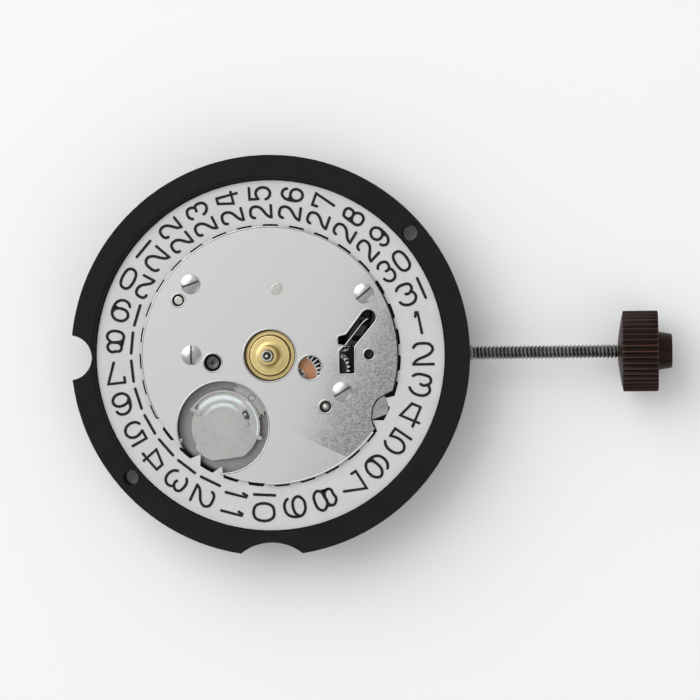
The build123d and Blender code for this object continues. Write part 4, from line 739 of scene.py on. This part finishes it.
def slotted_head(place, level, turn, radius, height, slot_width, down=False):
    """Domed screw head as rows along its slot.

    The height falls with the square of the distance from the middle, and the two middle rows
    lie on the slot's floor, between sloped walls, darkened by painted shade.
    """
    half = slot_width / 2
    side = radius * np.sin(np.linspace(np.pi / 2, 0, 14))
    side = side[side > half * 1.2]
    across = np.concatenate((-side, (-half, -half * 0.2, half * 0.2, half), side[::-1]))
    floor_rows = abs(across) < half * 0.5
    along = np.sin(np.linspace(-np.pi / 2, np.pi / 2, 27))
    reach = np.sqrt(np.clip(radius**2 - across**2, 0, None))
    x = reach[:, None] * along[None, :]
    y = np.repeat(across[:, None], len(along), axis=1)
    dome = height * (1 - np.clip((x**2 + y**2) / radius**2, 0, 1)) + 0.25 * height
    z = np.where(floor_rows[:, None], dome - 0.9 * half, dome)
    z = np.where(np.isclose(x**2 + y**2, radius**2), np.minimum(z, 0.12 * height), z)
    angle = math.radians(turn)
    flat_x = place[0] + x * math.cos(angle) - y * math.sin(angle)
    flat_y = place[1] + x * math.sin(angle) + y * math.cos(angle)
    sheets = [
        np.stack((flat_x, flat_y, level - levels if down else level + levels), -1).reshape(-1, 3)
        for levels in (z, np.full_like(z, -0.01))
    ]
    rows, columns = z.shape
    count = rows * columns
    numbers = np.arange(count).reshape(rows, columns)
    quads = grid_faces(rows, columns)
    border = np.concatenate((numbers[0, :-1], numbers[:-1, -1], numbers[-1, :0:-1], numbers[:0:-1, 0]))
    after = np.roll(border, -1)
    skirt = np.stack((border, after, after + count, border + count), -1)
    # painted shade darkens the slot's floor
    painted_shade = np.concatenate((np.repeat(0.6 * floor_rows, columns), np.zeros(count)))
    return np.concatenate(sheets), np.concatenate((quads, quads[:, ::-1] + count, skirt)), painted_shade


class MOVEMENT_OT_date_screws(bpy.types.Operator):
    """Makes the four domed slotted screws of the date plate"""

    bl_idname = "movement.date_screws"
    bl_label = "Date plate screws"

    def execute(self, context):
        heads = [
            slotted_head((x, y), PLATE_TOP + float(slope((x, y))) + 0.005, turn, **DATE_HEAD)
            for x, y, turn in DATE_SCREWS
        ]
        piece = put("date_plate_screw_heads", heads, "movement", "screw_steel")
        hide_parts("date_plate_screws")
        return {"FINISHED"}


class MOVEMENT_OT_cover_screws(bpy.types.Operator):
    """Makes the four domed slotted screws of the back cover"""

    bl_idname = "movement.cover_screws"
    bl_label = "Cover screws"

    def execute(self, context):
        heads = [
            slotted_head((x, y), COVER_BOTTOM, turn, **COVER_HEAD, down=True) for x, y, turn in COVER_SCREWS
        ]
        piece = put("cover_screw_heads", heads, "movement", "screw_steel")
        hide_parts("cover_screws")
        return {"FINISHED"}


class MOVEMENT_OT_hub(bpy.types.Operator):
    """Makes the turned hour wheel with its pipe, and the cannon pipe inside it"""

    bl_idname = "movement.hub"
    bl_label = "Hub and pipes"

    def execute(self, context):
        bottom, top = HOUR_WHEEL_LEVELS
        bore, pipe = HOUR_PIPE_RADII
        walls = ((bore, bottom), (bore, HOUR_PIPE_TOP), (pipe, HOUR_PIPE_TOP), (pipe, 0.05))
        steps = ((0.68, -0.12), (0.88, -0.205), (1.29, -0.20), (1.35, -0.49), (1.53, top))
        profile = rounded((*walls, *steps, (1.615, top), (1.615, bottom)), 0.05)
        points, quads = turned(profile, sides=128)
        # painted shade darkens the wheel's edge: its share grows from radius 1.54 to 1.60; the teeth get it
        # too
        hub = (points, quads, 0.8 * np.clip((np.hypot(points[:, 0], points[:, 1]) - 1.54) / 0.06, 0, 1))
        rim = toothed(40, 1.62, 1.80, 1.58, bottom, top - 0.005, phase=TRAIN_ANGLE)
        piece = put("hour_wheel_turned", [hub, marked(rim, 0.8)], "hours", "brass_wheel")
        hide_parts("hour_wheel")
        bore, pipe = MINUTE_PIPE_RADII
        mouth = ((0.20, 1.36), (0.27, MINUTE_PIPE_TOP), (pipe, MINUTE_PIPE_TOP))
        lip = rounded((*mouth, (pipe, -0.60), (bore, -0.60), (bore, 1.30)), 0.03)
        surfaces = [
            turned(lip, sides=96),
            toothed(12, 0.41, 0.59, 0.26, -0.92, -0.68, phase=TRAIN_ANGLE),
            turned(((bore, -1.50), (bore, -0.60), (pipe, -0.60), (pipe, -1.50)), sides=64),
        ]
        piece = put("cannon_pipe_turned", surfaces, "minutes", "gear_steel")
        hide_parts("cannon_pinion")
        wheel = toothed(36, 1.30, 1.70, 0.23, -0.86, -0.74, MINUTE_PLACE, TRAIN_ANGLE + 185.0)
        pinion = toothed(10, 0.33, 0.51, 0.23, -0.745, -0.50, MINUTE_PLACE, TRAIN_ANGLE + 198.0)
        # painted shade darkens the pinion
        piece = put("minute_wheel_toothed", [wheel, marked(pinion, 0.9)], "minute_wheel", "gear_steel")
        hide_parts("minute_wheel")
        return {"FINISHED"}


class MOVEMENT_OT_guide_pins(bpy.types.Operator):
    """Makes the rounded pins and the bush that come up through the date plate"""

    bl_idname = "movement.guide_pins"
    bl_label = "Pins and bush"

    def execute(self, context):
        def pin(place, radius, top, dome, flat):
            """Round pin with a dome, darkened below its top by painted shade."""
            wall = ((0.0, -0.70), (radius, -0.70), (radius, top - dome))
            corners = (*wall, (flat * radius, top), (0.0, top))
            points, quads = turned(rounded(corners, 0.06, closed=False), place, 64, loop=False)
            return points, quads, np.clip((top - dome - points[:, 2]) / 0.03, 0, 1)

        steel = [
            pin(RIVET_PLACE, 0.375, PLATE_TOP - 0.002, 0.015, 0.9),
            pin(POST_PLACE, 0.29, PLATE_TOP + 0.04, 0.19, 0.35),
        ]
        piece = put("steel_pins", steel, "movement", "pin_steel")
        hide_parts("plate_pins")
        locating = pin(LOCATING_PIN_PLACE, 0.29, PLATE_TOP - 0.04, 0.04, 0.85)
        put("locating_pin", [locating], "movement", "pin_steel")
        funnel = ((0.40, -0.98), (0.40, -0.25), (0.31, -0.25), (0.30, -0.29), (0.13, -0.34), (0.12, -0.98))
        bush = turned(rounded(funnel, 0.03), BUSH_PLACE, 64)
        piece = put("plate_bush_turned", [bush], "movement", "grey_bush")
        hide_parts("plate_bush")
        return {"FINISHED"}


class MOVEMENT_OT_yoke_wire(bpy.types.Operator):
    """Makes the wire spring of the yoke, with the bright ball on its fixed end"""

    bl_idname = "movement.yoke_wire"
    bl_label = "Yoke wire"

    def execute(self, context):
        level, radius = -0.70, 0.06
        path = rounded(YOKE_WIRE_PATH, 0.3, closed=False, steps=10)
        wire = carried(path, oval((0, level), radius, radius), closed=False)
        ball = bead(YOKE_WIRE_PATH[-1], level, 0.13, 0.10)
        # the wire and the ball get a painted highlight
        surfaces = [marked(surface, 0.0, 0.7) for surface in (wire, ball)]
        piece = put("yoke_wire_round", surfaces, "movement", "spring_steel")
        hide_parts("yoke_spring")
        return {"FINISHED"}


class MOVEMENT_OT_stem(bpy.types.Operator):
    """Makes the winding stem: pivot, square, groove, bearing and a screw thread with one start"""

    bl_idname = "movement.stem"
    bl_label = "Winding stem"

    def execute(self, context):
        pitch = context.scene.movement_sizes.thread_pitch / MM
        sides = 48
        turn = np.linspace(0, 2 * np.pi, sides, endpoint=False)
        inner = np.array((2.2, 2.2, 3.7, 3.7, 6.05, 6.05, 6.28, 6.28, 6.68, 6.68, THREAD_START))
        plain = np.array((0.0, 0.25, 0.25, 0.32, 0.32, 0.50, 0.50, 0.30, 0.30, 0.50, 0.50))
        outer = np.arange(THREAD_START, THREAD_END, pitch / 10)
        x = np.concatenate((inner, outer, (outer[-1],)))
        radii = np.concatenate((plain, np.full(len(outer), 0.335), (0.0,)))[:, None] * np.ones(sides)
        # the square holds the clutch pinion: half its side over the larger of cosine and sine
        square = 0.32 / np.maximum(abs(np.cos(turn)), abs(np.sin(turn)))
        radii[3:5] = square
        # crests and roots: a triangle wave of the distance along the stem less the angle in turns
        phase = (outer[:, None] - THREAD_START) / pitch - turn[None, :] / (2 * np.pi)
        triangle = 1 - 2 * abs(phase % 1.0 - 0.5)
        ease = np.clip((outer - THREAD_START) / 0.3, 0, 1)[:, None]
        crest = triangle * ease
        radii[len(inner) : len(inner) + len(outer)] += 0.13 * crest
        # painted shade darkens the thread's roots
        painted_shade = np.zeros_like(radii)
        painted_shade[len(inner) : len(inner) + len(outer)] = np.clip(1.0 - 1.4 * crest, 0, 0.9) * ease
        piece = put("stem_threaded", [(*turned_along_x(x, radii), painted_shade)], "stem", "stem_steel", 50.0)
        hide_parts("stem")
        return {"FINISHED"}


class MOVEMENT_OT_crown(bpy.types.Operator):
    """Makes the moulded crown: a rounded cone at its back, ribs round its rim, and a plain boss"""

    bl_idname = "movement.crown"
    bl_label = "Crown"

    def execute(self, context):
        ribs = context.scene.movement_sizes.crown_ribs
        sides = ribs * 14
        turn = np.linspace(0, 2 * np.pi, sides, endpoint=False)
        x = np.array(
            (22.50, 22.50, 22.54, 22.64, 22.74, 22.80, 22.80, 22.82, 22.86, 23.6, 24.3, 25.04, 25.08, 25.10,
             25.10, 25.10, 25.12, 25.20, 25.90, 25.97, 26.00, 26.00)
        )
        radius = np.array(
            (0.0, 0.60, 0.95, 1.60, 2.20, 2.38, 2.42, 2.56, 2.61, 2.61, 2.61, 2.61, 2.57, 2.49,
             2.30, 1.30, 1.24, 1.22, 1.11, 1.07, 0.98, 0.0)
        )
        # each rib is a narrow ridge: the groove between two follows a cosine to the power of 1.4
        groove = np.abs(np.cos(ribs * turn / 2)) ** 1.4
        ribbed = ((x > 22.79) & (x < 25.11) & (radius > 2.4))[:, None]
        radii = radius[:, None] - 0.15 * ribbed * groove[None, :]
        # painted shade darkens the grooves between the ribs
        painted_shade = 0.7 * ribbed * np.clip(groove[None, :] * 1.3 - 0.3, 0, 1)
        # each ridge gets its own share of painted highlight: a sum of three sines of its number
        rib = np.floor(ribs * turn / (2 * np.pi) + 0.5)
        lightened = 0.40 + 0.15 * (np.sin(2.4 * rib) + np.sin(5.1 * rib + 1) + np.sin(8.7 * rib + 2))
        painted_highlight_and_grey = ribbed * np.clip(lightened, 0.05, 1)[None, :] * np.clip(1 - groove[None, :] * 3, 0, 1)
        surface = (*turned_along_x(x, radii), painted_shade, painted_highlight_and_grey)
        piece = put("crown_ribbed", [surface], "stem", "crown_plastic", 45.0)
        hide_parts("crown")
        return {"FINISHED"}


class MOVEMENT_OT_date_drive(bpy.types.Operator):
    """Adds the moulded face with its raised bows to the date wheel, and the bright end of its spring"""

    bl_idname = "movement.date_drive"
    bl_label = "Date wheel details"

    def execute(self, context):
        place, level = np.array(DATE_WINDOW[0]), -0.375
        # the face is a disc with two flats: each limits how far the edge reaches in its own direction
        turn = np.linspace(0, 2 * np.pi, 144, endpoint=False)
        edge = np.full_like(turn, 2.30)
        for heading, reach in ((176.0, 1.72), (-83.0, 2.06)):
            lean = np.cos(turn - math.radians(heading))
            edge = np.where(lean > 0.3, np.minimum(edge, reach / np.clip(lean, 0.3, 1)), edge)
        share = np.concatenate((np.linspace(0.0, 0.5, 4), np.linspace(0.55, 1.0, 16), (1.0,)))[:, None]
        # its height dips in the middle and swells in two soft rings
        radius = share * edge[None, :]
        outer = 0.030 * np.exp(-(((radius - 1.92) / 0.16) ** 2))
        inner = 0.022 * np.exp(-(((radius - 1.42) / 0.14) ** 2))
        # both swells lie in the upper half and fade out towards its ends
        upper_half = np.clip(1.6 * np.cos(turn - math.radians(96.0)) - 0.5, 0, 1)[None, :]
        swell = (outer + inner) * upper_half
        upper = level + swell + 0.01
        upper[-1] = level - 0.03
        ring = np.stack((place[0] + radius * np.cos(turn), place[1] + radius * np.sin(turn), upper), -1)
        face = (ring.reshape(-1, 3), grid_faces(len(share), len(turn), False, True))
        ridge = oval((0.0, level + 0.03), 0.06, 0.035)
        thin = oval((0.0, level + 0.02), 0.04, 0.030)
        bows = [
            carried(circle(place, 1.98, 60, 52.0, 140.0), ridge, closed=False),
            carried(circle(place, 1.50, 40, 60.0, 122.0), thin, closed=False),
            carried(circle(place, 2.24, 50, -15.0, 48.0), thin, closed=False),
        ]
        # a painted highlight follows the two swells, and lies along the bows
        painted_highlight_and_grey = np.clip(swell * 40 - 0.3, 0, 1)
        no_shade = np.zeros_like(painted_highlight_and_grey)
        surfaces = [(*face, no_shade, painted_highlight_and_grey)] + [marked(bow, 0.0, 0.9) for bow in bows]
        put("date_wheel_face", surfaces, "date_wheel", "pale_plastic")
        boss = bead(place + (1.45, 0.80), level + 0.08, 0.11, 0.09)
        bend = place + np.array(((1.34, 1.02), (1.46, 0.86), (1.54, 0.66), (1.52, 0.50)))
        eye = carried(bend, oval((0.0, level + 0.03), 0.17, 0.03), closed=False)
        end = place + np.array(((1.50, 0.34), (1.56, 0.22), (1.56, 0.08)))
        tip = carried(end, oval((0.0, level + 0.05), 0.12, 0.06), closed=False)
        # painted shade darkens the spring's eye round the bright boss
        put("date_spring_end", [boss, marked(eye, 0.8), tip], "date_wheel", "screw_steel")
        return {"FINISHED"}


class MOVEMENT_OT_stage(bpy.types.Operator):
    """Sets the pale floor, the soft lights and the camera"""

    bl_idname = "movement.stage"
    bl_label = "Floor, light and camera"

    def execute(self, context):
        sizes, colours = context.scene.movement_sizes, context.scene.movement_colours
        # the floor is 3 m wide and lies 0.02 mm under the lowest solid
        low = cad_box[0].z - 2e-5
        edge = 1.5
        span = np.linspace(-edge, edge, 9)
        y, x = np.meshgrid(span, span, indexing="ij")
        points = np.stack((x, y, np.full_like(x, low)), -1).reshape(-1, 3)
        mesh = bpy.data.meshes.new("floor")
        mesh.from_pydata(points.tolist(), [], grid_faces(9, 9).tolist())
        finish, tree, place = start_finish("matt_white_board")
        end_finish(tree, {"Base Color": colours.floor[:], "Roughness": 0.9, "Specular IOR Level": 0.1})
        mesh.materials.append(finish)
        floor = bpy.data.objects.new("floor", mesh)
        context.scene.collection.objects.link(floor)

        world = bpy.data.worlds.new("studio")
        context.scene.world = world
        world.use_nodes = True
        tree = world.node_tree
        tree.nodes.clear()
        # a soft tent: brightest at the upper left, falling evenly with the cosine towards the lower right
        heading = add(tree, "TexCoord").outputs["Generated"]
        towards = add(tree, "VectorMath", {0: heading, 1: (-0.55, 0.50, 0.67)}, operation="DOT_PRODUCT")
        ends = {"From Min": -1.0, "From Max": 1.0, "To Min": 0.0, "To Max": 1.16}
        level = add(tree, "MapRange", {"Value": towards.outputs["Value"], **ends})
        pale = add(tree, "Background", {"Strength": level})
        add(tree, "OutputWorld", {"Surface": pale})

        # both lamps look at the middle of the dial seat
        lamps = (
            ("key_light", (-0.22, 0.20, 0.30), 0.42, sizes.key_power),
            ("fill_light", (0.25, -0.22, 0.28), 0.30, sizes.fill_power),
        )
        for name, spot, size, watts in lamps:
            lamp = bpy.data.lights.new(name, "AREA")
            lamp.shape = "SQUARE"
            lamp.size = size
            lamp.energy = watts
            holder = bpy.data.objects.new(name, lamp)
            aim = (-Vector(spot)).to_track_quat("-Z", "Y").to_matrix().to_4x4()
            holder.matrix_world = Matrix.Translation(spot) @ aim
            context.scene.collection.objects.link(holder)

        # the camera looks down from 5 degrees off the axis, towards three o'clock, a little rolled
        away, frame_width, sensor = 0.20, 0.04525, 36.0
        lean, heading, roll = math.radians(5.0), math.radians(9.4), math.radians(0.65)
        out = math.sin(lean)
        back = Vector((out * math.cos(heading), out * math.sin(heading), math.cos(lean)))
        right = Vector((math.cos(roll), -math.sin(roll), 0.0))
        right = (right - right.dot(back) * back).normalized()
        up = back.cross(right)
        view = Matrix((right, up, back)).transposed().to_4x4()
        view.translation = Vector((0.00525, 0.00030, 0.0)) + back * away
        camera = bpy.data.cameras.new("camera")
        camera.sensor_width = sensor
        camera.lens = sensor * away / frame_width
        camera.clip_start, camera.clip_end = 0.005, 10.0
        holder = bpy.data.objects.new("camera", camera)
        holder.matrix_world = view
        context.scene.collection.objects.link(holder)
        context.scene.camera = holder
        context.scene.view_settings.view_transform = "Standard"
        return {"FINISHED"}


class MOVEMENT_PT_panel(bpy.types.Panel):
    """Lists the settings and the pieces"""

    bl_idname = "MOVEMENT_PT_panel"
    bl_label = "Quartz movement"
    bl_space_type = "VIEW_3D"
    bl_region_type = "UI"
    bl_category = "Movement"

    def draw(self, context):
        for group in (context.scene.movement_sizes, context.scene.movement_colours):
            for name in group.bl_rna.properties.keys():
                if name not in {"rna_type", "name"}:
                    self.layout.prop(group, name)
        for piece in OPERATORS:
            self.layout.operator(piece.bl_idname)


OPERATORS = (
    MOVEMENT_OT_finishes,
    MOVEMENT_OT_softened_solids,
    MOVEMENT_OT_opening_rims,
    MOVEMENT_OT_date_screws,
    MOVEMENT_OT_cover_screws,
    MOVEMENT_OT_hub,
    MOVEMENT_OT_guide_pins,
    MOVEMENT_OT_yoke_wire,
    MOVEMENT_OT_stem,
    MOVEMENT_OT_crown,
    MOVEMENT_OT_date_drive,
    MOVEMENT_OT_stage,
)
CLASSES = (MovementColours, MovementSizes, *OPERATORS, MOVEMENT_PT_panel)


def register():
    for kind in CLASSES:
        bpy.utils.register_class(kind)
    bpy.types.Scene.movement_colours = PointerProperty(type=MovementColours)
    bpy.types.Scene.movement_sizes = PointerProperty(type=MovementSizes)


def unregister():
    del bpy.types.Scene.movement_sizes
    del bpy.types.Scene.movement_colours
    for kind in reversed(CLASSES):
        bpy.utils.unregister_class(kind)


def main():
    """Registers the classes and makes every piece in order."""
    register()
    bpy.ops.movement.finishes()
    bpy.ops.movement.softened_solids()
    bpy.ops.movement.opening_rims()
    bpy.ops.movement.date_screws()
    bpy.ops.movement.cover_screws()
    bpy.ops.movement.hub()
    bpy.ops.movement.guide_pins()
    bpy.ops.movement.yoke_wire()
    bpy.ops.movement.stem()
    bpy.ops.movement.crown()
    bpy.ops.movement.date_drive()
    bpy.ops.movement.stage()


if __name__ == "__main__":
    main()
